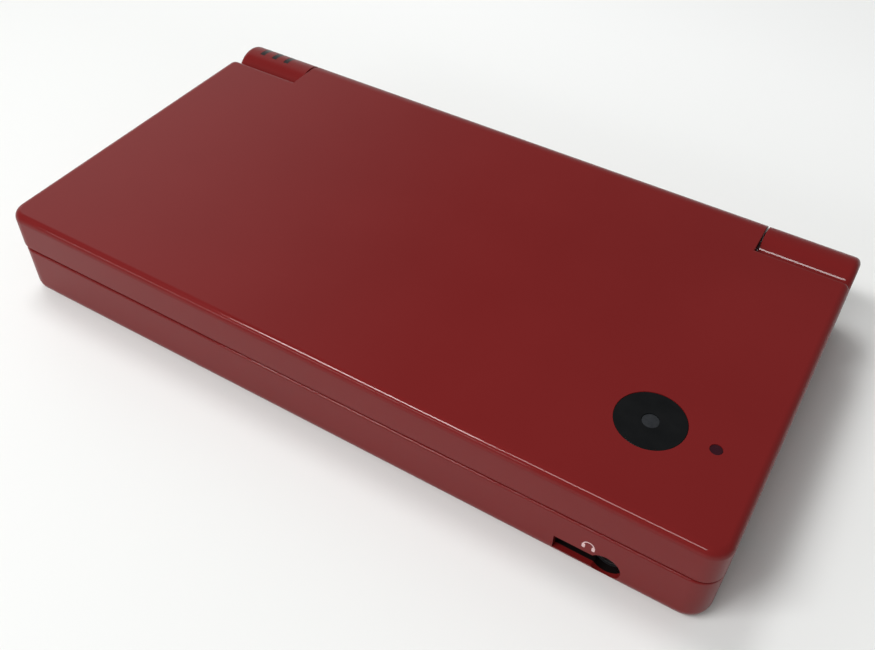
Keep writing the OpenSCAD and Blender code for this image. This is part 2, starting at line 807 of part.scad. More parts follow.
module battery_contacts() color(copper) {
    difference() {
        box(-battery_x - contact_w / 2, -battery_x + contact_w / 2, battery_y1 + bay_gap,
            battery_y1 + bay_gap + contact_d, battery_z, floor_t + bay_h);
        for (x = [-contact_w / 3, contact_w / 15])
            box(-battery_x + x, -battery_x + x + contact_slot_w, battery_y1,
                battery_y1 + contact_slot_d, floor_t + contact_rim, floor_t + bay_h - contact_rim);
    }
}

module battery_cover() color(red) {
    edge = cover_lip - seat_gap;
    difference() {
        slab(cover_screw_x0 - edge, cover_screw_x1 + edge, bay_y0 - edge, bay_y1 + edge,
             0, floor_t / 2 - thin, cover_corner_r);
        for (x = [cover_screw_x0, cover_screw_x1])
            post(screw_bore_r + seat_gap, x, cover_y, -lap, floor_t);
    }
    box(bay_x0 + seat_gap, bay_x1 - seat_gap, bay_y0 + seat_gap, bay_y1 - seat_gap,
        floor_t / 2 - 2 * thin, floor_t);
}

module battery_cover_screws() color(steel) {
    for (x = [cover_screw_x0, cover_screw_x1])
        post(screw_r, x, cover_y, thin, floor_t + bay_h - cover_screw_end);
}

module case_screws() color(steel) {
    for (spot = case_screw_spots) screw(spot[0], spot[1], case_seat_z, screw_head_r, case_screw_len);
}

module game_card_socket() color(steel) {
    difference() {
        box(card_x0 - sheet_t, card_x1 + sheet_t, card_y - card_stop, socket_rear_y,
            floor_t, card_z + card_h + sheet_t);
        box(card_x0, card_x1, card_y, socket_rear_y + lap, floor_t - lap, card_z + card_h);
        // Notch for the finger of the ejector
        box(card_x1 - lap, ejector_x, card_y + 2 * ejector_gap, card_y + 4 * ejector_t,
            floor_t - lap, ejector_top + 2 * ejector_gap);
    }
}

module card_ejector() color(steel) {
    box(ejector_x, ejector_x + ejector_t, card_y + ejector_t, card_y + ejector_t + ejector_len,
        floor_t + ejector_gap, ejector_top);
    box(card_x1 - ejector_reach, ejector_x + ejector_t / 2, card_y + 2.6 * ejector_t,
        card_y + 3.6 * ejector_t, floor_t + ejector_gap, ejector_top);
}

module memory_card_socket() color(steel) {
    difference() {
        box(memory_x0 - memory_stop, memory_mouth_x, memory_y - memory_w / 2 - sheet_t,
            memory_y + memory_w / 2 + sheet_t, memory_z - sheet_t, memory_z + memory_h + sheet_t);
        box(memory_x0, memory_mouth_x + lap, memory_y - memory_w / 2,
            memory_y + memory_w / 2, memory_z, memory_z + memory_h);
    }
    // Two feet that stand on the floor
    for (side = [-1, 1]) {
        y = memory_y + side * (memory_w / 2 - memory_leg);
        box(memory_x0 + memory_leg, memory_mouth_x - 3 * memory_leg, y - memory_leg / 2,
            y + memory_leg / 2, floor_t, memory_z - sheet_t / 2);
    }
}

module memory_card_door() color(red) {
    bar_y(door_t / 2, door_axis_x, door_y0, door_y1, door_axis_z);
    box(door_axis_x - door_t / 2, door_axis_x + door_t / 2, door_y0, door_y1, door_axis_z, door_top);
    bar_y(door_pin_r, door_axis_x, door_y0 - door_pin_len, door_y1 + door_pin_len, door_axis_z);
}

module charge_socket() color(steel) {
    difference() {
        box(-charge_x - charge_w / 2 - charge_wall, -charge_x + charge_w / 2 + charge_wall,
            rear_y - charge_len - charge_back, socket_rear_y, floor_t, charge_z + charge_h + charge_roof);
        box(-charge_x - charge_w / 2, -charge_x + charge_w / 2, rear_y - charge_len, rear_y, charge_z,
            charge_z + charge_h);
    }
    // Tongue with the contacts
    box(-charge_x - charge_w / 2 + tongue_side, -charge_x + charge_w / 2 - tongue_side,
        rear_y - charge_len - lap, rear_y - tongue_front,
        charge_z + (charge_h - tongue_t) / 2, charge_z + (charge_h + tongue_t) / 2);
}

module headphone_jack() color(black) {
    difference() {
        union() {
            bar_y(jack_collar_r, jack_x, jack_front_y, jack_face_y + jack_block_t + lap, jack_z);
            box(jack_x - jack_body_w / 2, jack_x + jack_body_w / 2,
                jack_face_y + jack_block_t + seat_gap, jack_end_y, floor_t, jack_z + jack_body_h);
        }
        bar_y(jack_r, jack_x, jack_front_y - lap, jack_front_y + jack_len, jack_z);
    }
}

module wireless_board() color(board_green) {
    box(radio_x0, radio_x0 + radio_w, radio_y0, radio_y0 + radio_d, floor_t, floor_t + radio_t);
    box(radio_x0 + shield_rim, radio_x0 + shield_rim + shield_w, radio_y0 + shield_rim,
        radio_y0 + radio_d - shield_rim, floor_t + radio_t / 2, floor_t + radio_t + shield_h);
}

// Rubber pad with one dome for each push button
module face_button_pad() color(grey) {
    reach = button_pitch + button_r + pad_reach;
    slab(control_x - reach, control_x + reach, control_y - reach, control_y + reach,
         board_top, pad_top, pad_corner_r);
    for (spot = button_ring)
        post(button_r - dome_inset, control_x + spot[0] * button_pitch,
             control_y + spot[1] * button_pitch, board_top + thin, dome_top);
}

module dpad_pad() color(grey) {
    difference() {
        post(dpad_span / 2 + 1, -control_x, control_y, board_top, dpad_pad_top);
        post(dpad_ball_r + lap, -control_x, control_y, board_top - lap, dpad_pad_top + lap);
    }
}

module small_button_pads() color(grey) {
    for (spot = small_spots) union() {
        post(small_button_r + pad_reach, spot[0], spot[1], board_top, pad_top);
        post(small_button_r - small_dome_inset, spot[0], spot[1], board_top + thin, dome_top);
    }
}

module volume_switch() color(black) {
    x0 = rocker_x + rocker_t + volume_gap;
    box(x0, x0 + volume_t, rocker_y - volume_w / 2, rocker_y + volume_w / 2, board_z - volume_h, board_z);
}

module shoulder_switches() color(black) {
    for (side = [-1, 1]) {
        x = side * (half_w - shoulder_switch_x);
        box(x - shoulder_switch_w / 2, x + shoulder_switch_w / 2, shoulder_switch_y - shoulder_switch_d,
            shoulder_switch_y, floor_t, shoulder_z + shoulder_h / 2);
    }
}

// Spring-loaded friction unit in the right knuckle, with its shaft
module hinge_unit() color(steel) {
    bar_x(knuckle_bore_r - screw_clear, knuckle_x + end_float, half_w - knuckle_cap - end_float,
          axis_y, axis_z);
    bar_x(shaft_r, barrel_x - shaft_reach, knuckle_x + shaft_root, axis_y, axis_z);
}

// Hollow bush in the left knuckle, with its shaft
module hinge_bush() color(steel) {
    difference() {
        union() {
            bar_x(knuckle_bore_r - screw_clear, -knuckle_x - end_float - bush_len,
                  -knuckle_x - end_float, axis_y, axis_z);
            bar_x(shaft_r, -knuckle_x - shaft_root, -barrel_x + shaft_reach, axis_y, axis_z);
        }
        bar_x(ribbon_hole_r, -half_w, 0, axis_y, axis_z);
    }
}

module indicator_lenses() color(glass) {
    for (i = [0 : 2])
        indicator_strip(i, knuckle_bore_r + strip_fit, barrel_r - strip_fit, strip_w - 2 * strip_fit);
}

// Small board with one light under each strip, on a foot in the bore
module indicator_board() color(board_green) {
    x0 = -half_w + knuckle_cap + lap;
    half_d = knuckle_bore_r - 2 * lap;
    box(x0, -knuckle_x - bush_len - 2 * end_float, axis_y - half_d, axis_y + half_d,
        axis_z - lap, axis_z + board_gap);
    for (i = [0 : 2]) {
        x = -half_w + strip_inset + strip_pitch * i;
        box(x - strip_w / 2, x + strip_w / 2, axis_y - strip_w / 2, axis_y + strip_w / 2,
            axis_z + board_gap / 2, axis_z + strip_w);
    }
    box(x0, x0 + strip_w, axis_y - strip_w / 2, axis_y + strip_w / 2, axis_z - knuckle_bore_r + 0.1, axis_z);
}

module strap_bar() color(steel) {
    post(strap_r, -strap_x, rear_y - 2 * strap_r, strap_z, strap_z + strap_h);
}

module microphone() color(steel) {
    difference() {
        post(mic_r, 0, mic_y, deck_under - mic_h, deck_under);
        post(mic_hole_r, 0, mic_y, deck_under - mic_h / 2, deck_under + lap);
    }
}

// Plus shape of the direction pad, grown by a gap all round
module dpad_cross(grow, z0, z1) {
    long = dpad_span / 2 + grow;
    wide = dpad_arm / 2 + grow;
    box(-long, long, -wide, wide, z0, z1);
    box(-wide, wide, -long, long, z0, z1);
}

module dpad_ball() color(steel) {
    translate([-control_x, control_y, ball_z]) sphere(r = dpad_ball_r);
}

module dpad() color(black) {
    translate([-control_x, control_y, 0]) difference() {
        union() {
            dpad_cross(0, dpad_flange_top - thin, control_top);
            post(dpad_flange_r, 0, 0, dpad_flange_top - dpad_flange_t, dpad_flange_top);
        }
        translate([0, 0, ball_z]) sphere(r = dpad_ball_r + ball_gap);
        // Shallow dish in the middle of the cross
        translate([0, 0, control_top - dpad_dish + dpad_dish_r]) sphere(r = dpad_dish_r);
    }
}

module push_button(x, y, r) {
    post(r, x, y, flange_top - flange_t, control_top);
    post(r + flange_lip, x, y, flange_top - flange_t, flange_top);
}

module face_button_right() color(black) push_button(control_x + button_pitch, control_y, button_r);
module face_button_front() color(black) push_button(control_x, control_y - button_pitch, button_r);
module face_button_back() color(black) push_button(control_x, control_y + button_pitch, button_r);
module face_button_left() color(black) push_button(control_x - button_pitch, control_y, button_r);
module start_button() color(black) push_button(small_x, start_y, small_button_r);
module select_button() color(black) push_button(small_x, select_y, small_button_r);
module power_button() color(black) push_button(-small_x, select_y, small_button_r);

module volume_rocker() color(black) {
    box(rocker_x, rocker_x + rocker_t, rocker_y - rocker_len / 2, rocker_y + rocker_len / 2,
        rocker_z - rocker_h / 2, rocker_z + rocker_h / 2);
}

// The right shoulder button; the left one is its mirror image
module shoulder_button() {
    difference() {
        union() {
            intersection() {
                difference() {
                    slab(-half_w, half_w, front_y, rear_y, shoulder_z, shoulder_top, corner_r);
                    slab(-half_w + shoulder_t, half_w - shoulder_t, front_y + shoulder_t,
                         rear_y - shoulder_t, 0, body_h, corner_r - shoulder_t);
                }
                box(shoulder_x, half_w + lap, shoulder_side_y, rear_y + lap, 0, body_h);
            }
            post(shoulder_boss_r, shoulder_pivot_x, shoulder_pivot_y, shoulder_z, shoulder_top);
            box(shoulder_pivot_x - shoulder_rib / 2, shoulder_pivot_x + shoulder_rib / 2,
                shoulder_pivot_y, rear_y - shoulder_t / 2, shoulder_z, shoulder_top);
        }
        post(shoulder_pin_r + shoulder_pin_clear, shoulder_pivot_x, shoulder_pivot_y, 0, body_h);
    }
}

module shoulder_button_right() color(red) shoulder_button();
module shoulder_button_left() color(red) mirror([1, 0, 0]) shoulder_button();

module stylus() color(grey) {
    translate([half_w - stylus_sunk, stylus_y, stylus_z]) rotate([0, -90, 0]) difference() {
        rotate_extrude() polygon([
            [0, 0], [stylus_r - stylus_edge, 0], [stylus_r, stylus_edge],
            [stylus_r, stylus_len - stylus_cone], [stylus_r - stylus_edge, stylus_len - stylus_cone + 1],
            [stylus_tip_r, stylus_len - 2 * stylus_tip_r],
            [0.6 * stylus_tip_r, stylus_len - stylus_tip_r / 3],
            [0, stylus_len]
        ]);
        // Groove for a fingernail
        translate([stylus_r + 0.1, stylus_r, stylus_nail]) rotate([90, 0, 0])
            cylinder(r = 0.5, h = 2 * stylus_r);
    }
}

module lid_block() {
    translate([0, 0, body_h]) mirror([0, 0, 1])
        tray(body_w, front_y, lid_rear_y, lid_h, lid_corner_r, lid_rear_r, top_edge_r);
}

module lid_hollow() {
    slab(-half_w + lid_wall_t, half_w - lid_wall_t, front_y + lid_wall_t, lid_rear_y - lid_wall_t,
         lid_z - lap, panel_under, lid_corner_r - lid_wall_t);
}

module lid_cover() color(red) {
    difference() {
        union() {
            difference() {
                union() {
                    lid_block();
                    box(-barrel_x, barrel_x, lid_rear_y - lid_rear_r - lid_wall_t, axis_y, lid_z, body_h);
                    bar_x(barrel_r, -barrel_x, barrel_x, axis_y, axis_z);
                }
                lid_hollow();
            }
            for (spot = lid_screw_spots)
                post(lid_column_r, spot[0], spot[1], glass_z, panel_under + lap);
        }
        bar_x(barrel_bore_r, -half_w, half_w, axis_y, axis_z);
        for (spot = lid_screw_spots) post(screw_bore_r, spot[0], spot[1], lid_z, panel_under - lid_tip_gap);
        // Seat of the camera window and the hole under it
        post(window_r + window_clear, window_x, window_y, window_under, body_h + lap);
        post(window_r - window_ledge, window_x, window_y, panel_under - lap, body_h);
        post(light_r + window_clear, window_x + light_pitch, window_y, panel_under - lap, body_h + lap);
        // Passage for the screen ribbon
        box(ribbon_x - ribbon_side, ribbon_x + ribbon_w + ribbon_side, lid_rear_y - 2 * lid_wall_t - lap,
            axis_y, axis_z - ribbon_slot / 2, axis_z + ribbon_slot / 2);
    }
}

module lid_bezel() color(inner_red) {
    inset = lid_wall_t + seat_gap;
    difference() {
        slab(-half_w + inset, half_w - inset, front_y + inset, lid_rear_y - inset,
             lid_z, glass_z, lid_corner_r - inset);
        slab(-screen_w / 2, screen_w / 2, upper_y - screen_d / 2, upper_y + screen_d / 2,
             lid_z - lap, glass_z + lap, screen_corner_r);
        for (side = [-1, 1], spot = grille_spots)
            post(grille_r, side * speaker_x + spot[0], speaker_y + spot[1], lid_z - lap, glass_z + lap);
        post(inner_lens_r + window_clear, 0, inner_camera_y, lid_z - lap, glass_z + lap);
        for (spot = lid_screw_spots) {
            post(lid_head_hole_r + seat_gap, spot[0], spot[1], lid_z - lap, lid_seat_z);
            post(screw_bore_r, spot[0], spot[1], lid_z, glass_z + lap);
        }
    }
}

module upper_glass() color(glass) {
    box(-panel_w / 2, panel_w / 2, upper_y - panel_d / 2, upper_y + panel_d / 2, glass_z, upper_display_z);
}

module upper_display() color(black) {
    box(-panel_w / 2, panel_w / 2, upper_y - panel_d / 2, upper_y + panel_d / 2, upper_display_z,
        upper_display_z + upper_display_t);
}

module camera_window() color(black) {
    difference() {
        post(window_r, window_x, window_y, window_under, body_h - window_drop);
        post(lens_r + window_clear, window_x, window_y, panel_under, body_h + lap);
    }
}

module camera_lens() color(grey) {
    post(lens_r, window_x, window_y, window_under, body_h - lens_drop);
}

module camera_module() color(black) {
    half = camera_size / 2;
    box(window_x - half, window_x + half, window_y - half, window_y + half,
        panel_under - stack_gap - camera_h, panel_under - stack_gap);
    post(window_r - window_ledge - camera_neck, window_x, window_y, panel_under - 2 * stack_gap,
         window_under);
}

module camera_light() color(glass) {
    post(light_r, window_x + light_pitch, window_y, panel_under - seat_gap, body_h - window_drop);
}

module inner_camera_lens() color(black) {
    post(inner_lens_r, 0, inner_camera_y, lid_z + seat_gap, glass_z);
}

module inner_camera_module() color(black) {
    box(-inner_camera_w / 2, inner_camera_w / 2, inner_camera_y - inner_camera_d / 2,
        inner_camera_y + inner_camera_d / 2, glass_z, glass_z + inner_camera_h);
}

module speaker(x) {
    difference() {
        post(speaker_r, x, speaker_y, glass_z, glass_z + speaker_t);
        post(speaker_r - speaker_rim, x, speaker_y, glass_z - lap, glass_z + speaker_dish);
    }
}

module speaker_left() color(grey) speaker(-speaker_x);
module speaker_right() color(grey) speaker(speaker_x);

module lid_bumpers() color(black) {
    for (spot = lid_screw_spots)
        post(lid_head_hole_r, spot[0], spot[1], deck_z + bumper_gap, lid_seat_z - head_t);
}

module lid_screws() color(steel) {
    for (spot = lid_screw_spots)
        screw(spot[0], spot[1], lid_seat_z, screw_head_r, panel_under - 2 * lid_tip_gap - lid_seat_z);
}

module lid_magnet() color(steel) {
    x1 = half_w - lid_wall_t - 2 * seat_gap;
    box(x1 - magnet_w, x1, speaker_y - magnet_back - magnet_d, speaker_y - magnet_back,
        glass_z, glass_z + magnet_h);
}

// Two bushes in the ends of the lid barrel, which turn on the hinge shafts
module barrel_bushes() color(black) {
    for (side = [0, 1]) mirror([side, 0, 0]) difference() {
        bar_x(barrel_bore_r - screw_clear, barrel_x - shaft_reach, barrel_x - end_float, axis_y, axis_z);
        bar_x(shaft_r + shaft_clear, 0, half_w, axis_y, axis_z);
    }
}

module screen_ribbon() color(copper) {
    box(ribbon_x, ribbon_x + ribbon_w, upper_y + panel_d / 2, axis_y, axis_z - ribbon_t / 2,
        axis_z + ribbon_t / 2);
}

lower_case();
control_deck();
touch_panel();
lower_display();
main_board();
battery();
battery_cover();
battery_cover_screws();
battery_contacts();
case_screws();
game_card_socket();
card_ejector();
memory_card_socket();
memory_card_door();
charge_socket();
headphone_jack();
wireless_board();
face_button_pad();
dpad_pad();
small_button_pads();
volume_switch();
shoulder_switches();
hinge_unit();
hinge_bush();
indicator_lenses();
indicator_board();
strap_bar();
microphone();
dpad_ball();
dpad();
face_button_right();
face_button_front();
face_button_back();
face_button_left();
start_button();
select_button();
power_button();
volume_rocker();
shoulder_button_left();
shoulder_button_right();
stylus();
lid_cover();
lid_bezel();
upper_glass();
upper_display();
camera_window();
camera_lens();
camera_module();
camera_light();
inner_camera_lens();
inner_camera_module();
speaker_left();
speaker_right();
lid_bumpers();
lid_screws();
lid_magnet();
barrel_bushes();
screen_ribbon();
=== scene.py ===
"""A closed clamshell handheld game console in glossy deep red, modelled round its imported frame."""

from __future__ import annotations

import logging
import math
from dataclasses import dataclass, field
from enum import Enum
from typing import Callable

import bmesh
import bpy
from mathutils import Matrix, Vector


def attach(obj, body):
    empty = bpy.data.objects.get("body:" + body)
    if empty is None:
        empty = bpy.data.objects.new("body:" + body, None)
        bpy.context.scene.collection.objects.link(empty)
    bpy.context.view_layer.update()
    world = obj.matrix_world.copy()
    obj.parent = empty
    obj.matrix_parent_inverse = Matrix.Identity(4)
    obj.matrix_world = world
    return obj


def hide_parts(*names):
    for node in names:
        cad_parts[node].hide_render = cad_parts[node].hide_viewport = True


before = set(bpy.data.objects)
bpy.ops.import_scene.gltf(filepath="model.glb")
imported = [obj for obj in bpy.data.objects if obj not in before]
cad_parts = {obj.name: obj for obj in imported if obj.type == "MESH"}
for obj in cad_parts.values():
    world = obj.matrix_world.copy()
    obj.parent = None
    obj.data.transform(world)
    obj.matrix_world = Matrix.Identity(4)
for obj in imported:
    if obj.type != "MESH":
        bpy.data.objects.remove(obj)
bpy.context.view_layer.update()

MM = 0.001
LOG = logging.getLogger("console")

Colour = tuple[float, float, float]
Pair = tuple[float, float]
Spot = tuple[float, float]
Test = Callable[[object], bool]


class Join(Enum):
    """Ways of combining two solids."""

    ADD = "UNION"
    CUT = "DIFFERENCE"
    KEEP = "INTERSECT"


class Pick(Enum):
    """Kinds of mesh element that can be selected."""

    VERT = 0
    EDGE = 1
    FACE = 2


class Axis(Enum):
    """The three axes of the frame."""

    X = 0
    Y = 1
    Z = 2


class Bench:
    """The modelling operations that all pieces are made with. Sizes are in millimetres."""

    @staticmethod
    def clear() -> None:
        """Leaves edit mode and deselects everything."""
        active = bpy.context.view_layer.objects.active
        if active and active.mode != "OBJECT":
            bpy.ops.object.mode_set(mode="OBJECT")
        bpy.ops.object.select_all(action="DESELECT")

    @staticmethod
    def settle(name: str) -> bpy.types.Object:
        """Moves the new primitive's place into its mesh.

        Args:
            name: The piece's name.

        Returns:
            The piece, at the origin.
        """
        made = bpy.context.object
        made.name = name
        made.data.name = name
        bpy.ops.object.transform_apply(location=True, rotation=True, scale=True)
        return made

    @staticmethod
    def block(name: str, x: Pair, y: Pair, z: Pair) -> bpy.types.Object:
        """Adds a square block.

        Args:
            name: The piece's name.
            x: Its ends along X.
            y: Its ends along Y.
            z: Its ends along Z.

        Returns:
            The block.
        """
        Bench.clear()
        centre = [(a + b) / 2 * MM for a, b in (x, y, z)]
        bpy.ops.mesh.primitive_cube_add(size=1, location=centre)
        bpy.context.object.scale = [(b - a) * MM for a, b in (x, y, z)]
        return Bench.settle(name)

    @staticmethod
    def rod(name: str, axis: Axis, radius: float, span: Pair, at: Spot, sides: int = 64) -> bpy.types.Object:
        """Adds a round rod.

        Args:
            name: The piece's name.
            axis: The axis that it runs along.
            radius: Its radius.
            span: Its two ends along the axis.
            at: Its place on the other two axes, in their order.
            sides: How many faces go round it.

        Returns:
            The rod.
        """
        Bench.clear()
        middle = (span[0] + span[1]) / 2
        place = list(at)
        place.insert(axis.value, middle)
        turn = {Axis.X: (0, math.pi / 2, 0), Axis.Y: (math.pi / 2, 0, 0), Axis.Z: (0, 0, 0)}[axis]
        bpy.ops.mesh.primitive_cylinder_add(
            vertices=sides, radius=radius * MM, depth=(span[1] - span[0]) * MM,
            location=[c * MM for c in place], rotation=turn)
        return Bench.settle(name)

    @staticmethod
    def ball(name: str, radius: float, at: tuple[float, float, float], rings: int = 24) -> bpy.types.Object:
        """Adds a ball.

        Args:
            name: The piece's name.
            radius: Its radius.
            at: Its centre.
            rings: How many rings it has from pole to pole.

        Returns:
            The ball.
        """
        Bench.clear()
        bpy.ops.mesh.primitive_uv_sphere_add(
            segments=2 * rings, ring_count=rings, radius=radius * MM, location=[c * MM for c in at])
        return Bench.settle(name)

    @staticmethod
    def pick(piece: bpy.types.Object, test: Test, kind: Pick = Pick.EDGE) -> int:
        """Opens a piece in edit mode and selects the elements that pass a test.

        Args:
            piece: The piece.
            test: Says whether an element is wanted.
            kind: The kind of element.

        Returns:
            How many elements were selected.
        """
        Bench.clear()
        bpy.context.view_layer.objects.active = piece
        piece.select_set(True)
        bpy.ops.object.mode_set(mode="EDIT")
        bpy.context.tool_settings.mesh_select_mode = [kind.value == i for i in range(3)]
        bpy.ops.mesh.select_all(action="DESELECT")
        mesh = bmesh.from_edit_mesh(piece.data)
        wanted = [e for e in (mesh.verts, mesh.edges, mesh.faces)[kind.value] if test(e)]
        for element in wanted:
            element.select_set(True)
        mesh.select_flush_mode()
        bmesh.update_edit_mesh(piece.data)
        return len(wanted)

    @staticmethod
    def soften(piece: bpy.types.Object, test: Test, width: float, steps: int = 3) -> bpy.types.Object:
        """Rounds the edges that pass a test.

        Args:
            piece: The piece.
            test: Says whether an edge is rounded.
            width: The radius of the rounding.
            steps: How many faces go round it.

        Returns:
            The piece.
        """
        if Bench.pick(piece, test):
            bpy.ops.mesh.bevel(offset=width * MM, offset_type="OFFSET", segments=steps, profile=0.5,
                               affect="EDGES", clamp_overlap=False)
        Bench.clear()
        return piece

    @staticmethod
    def combine(piece: bpy.types.Object, how: Join, *tools: bpy.types.Object) -> bpy.types.Object:
        """Adds solids to a piece or cuts them out of it, and removes them.

        Args:
            piece: The piece.
            how: What is done with the solids.
            *tools: The solids.

        Returns:
            The piece.
        """
        for tool in tools:
            Bench.clear()
            bpy.context.view_layer.objects.active = piece
            piece.select_set(True)
            fit = piece.modifiers.new("fit", "BOOLEAN")
            fit.operation = how.value
            fit.solver = "EXACT"
            fit.object = tool
            bpy.ops.object.modifier_apply(modifier=fit.name)
            bpy.data.objects.remove(tool, do_unlink=True)
        return piece

    @staticmethod
    def clean(piece: bpy.types.Object) -> bpy.types.Object:
        """Merges doubled points and joins flat faces.

        Args:
            piece: The piece.

        Returns:
            The piece.
        """
        Bench.pick(piece, lambda element: True, Pick.VERT)
        bpy.ops.mesh.remove_doubles(threshold=0.002 * MM)
        bpy.ops.mesh.dissolve_limited(angle_limit=math.radians(0.3))
        Bench.clear()
        return piece

    @staticmethod
    def smooth(piece: bpy.types.Object, angle: float = 32.0) -> bpy.types.Object:
        """Smooths the shading over the roundings and keeps flat faces flat.

        Args:
            piece: The piece.
            angle: Edges sharper than this angle in degrees stay sharp.

        Returns:
            The piece.
        """
        Bench.clear()
        bpy.context.view_layer.objects.active = piece
        piece.select_set(True)
        bpy.ops.object.shade_smooth_by_angle(angle=math.radians(angle))
        weigh = piece.modifiers.new("weigh", "WEIGHTED_NORMAL")
        weigh.mode = "FACE_AREA"
        weigh.weight = 100
        weigh.keep_sharp = True
        bpy.ops.object.modifier_apply(modifier=weigh.name)
        mesh = piece.data
        normals = [corner.vector.copy() for corner in mesh.corner_normals]
        for face in mesh.polygons:
            for corner in face.loop_indices:
                if normals[corner].length < 0.5:
                    normals[corner] = face.normal.copy()
        mesh.normals_split_custom_set(normals)
        return piece

    @staticmethod
    def twin(piece: bpy.types.Object, name: str, move: tuple[float, float, float] = (0, 0, 0),
             flip: bool = False) -> bpy.types.Object:
        """Copies a piece with a mesh of its own.

        Args:
            piece: The piece.
            name: The copy's name.
            move: How far the copy is moved.
            flip: True for a mirror image across the console's middle.

        Returns:
            The copy.
        """
        Bench.clear()
        piece.select_set(True)
        bpy.context.view_layer.objects.active = piece
        bpy.ops.object.duplicate(linked=False)
        made = bpy.context.object
        made.name = name
        made.data.name = name
        made.location = [c * MM for c in move]
        if flip:
            made.scale = (-1, 1, 1)
        bpy.ops.object.transform_apply(location=True, rotation=True, scale=True)
        if flip:
            bpy.ops.object.mode_set(mode="EDIT")
            bpy.ops.mesh.select_all(action="SELECT")
            bpy.ops.mesh.normals_make_consistent(inside=False)
            bpy.ops.object.mode_set(mode="OBJECT")
        return made

    @staticmethod
    def merge(name: str, *pieces: bpy.types.Object) -> bpy.types.Object:
        """Joins loose pieces into one object.

        Args:
            name: The name of the joined piece.
            *pieces: The pieces.

        Returns:
            The joined piece.
        """
        Bench.clear()
        for piece in pieces:
            piece.select_set(True)
        bpy.context.view_layer.objects.active = pieces[0]
        bpy.ops.object.join()
        pieces[0].name = name
        pieces[0].data.name = name
        return pieces[0]


def level(axis: Axis, value: float, slack: float = 0.02) -> Test:
    """Makes a test for elements that lie in a plane across an axis.

    Args:
        axis: The axis.
        value: The plane's place on it.
        slack: How far off the plane still counts.

    Returns:
        The test.
    """
    return lambda e: all(abs(v.co[axis.value] / MM - value) < slack for v in e.verts)


def along(axis: Axis) -> Test:
    """Makes a test for edges that run along an axis.

    Args:
        axis: The axis.

    Returns:
        The test.
    """
    return lambda e: abs((e.verts[0].co - e.verts[1].co).normalized()[axis.value]) > 0.999


def middle(e: object) -> Vector:
    """Returns the middle of an element in millimetres."""
    return sum((v.co for v in e.verts), Vector()) / len(e.verts) / MM


def sharp(e: object) -> bool:
    """Says whether an edge is sharper than 50 degrees."""
    return len(e.link_faces) == 2 and e.calc_face_angle(0) > math.radians(50)


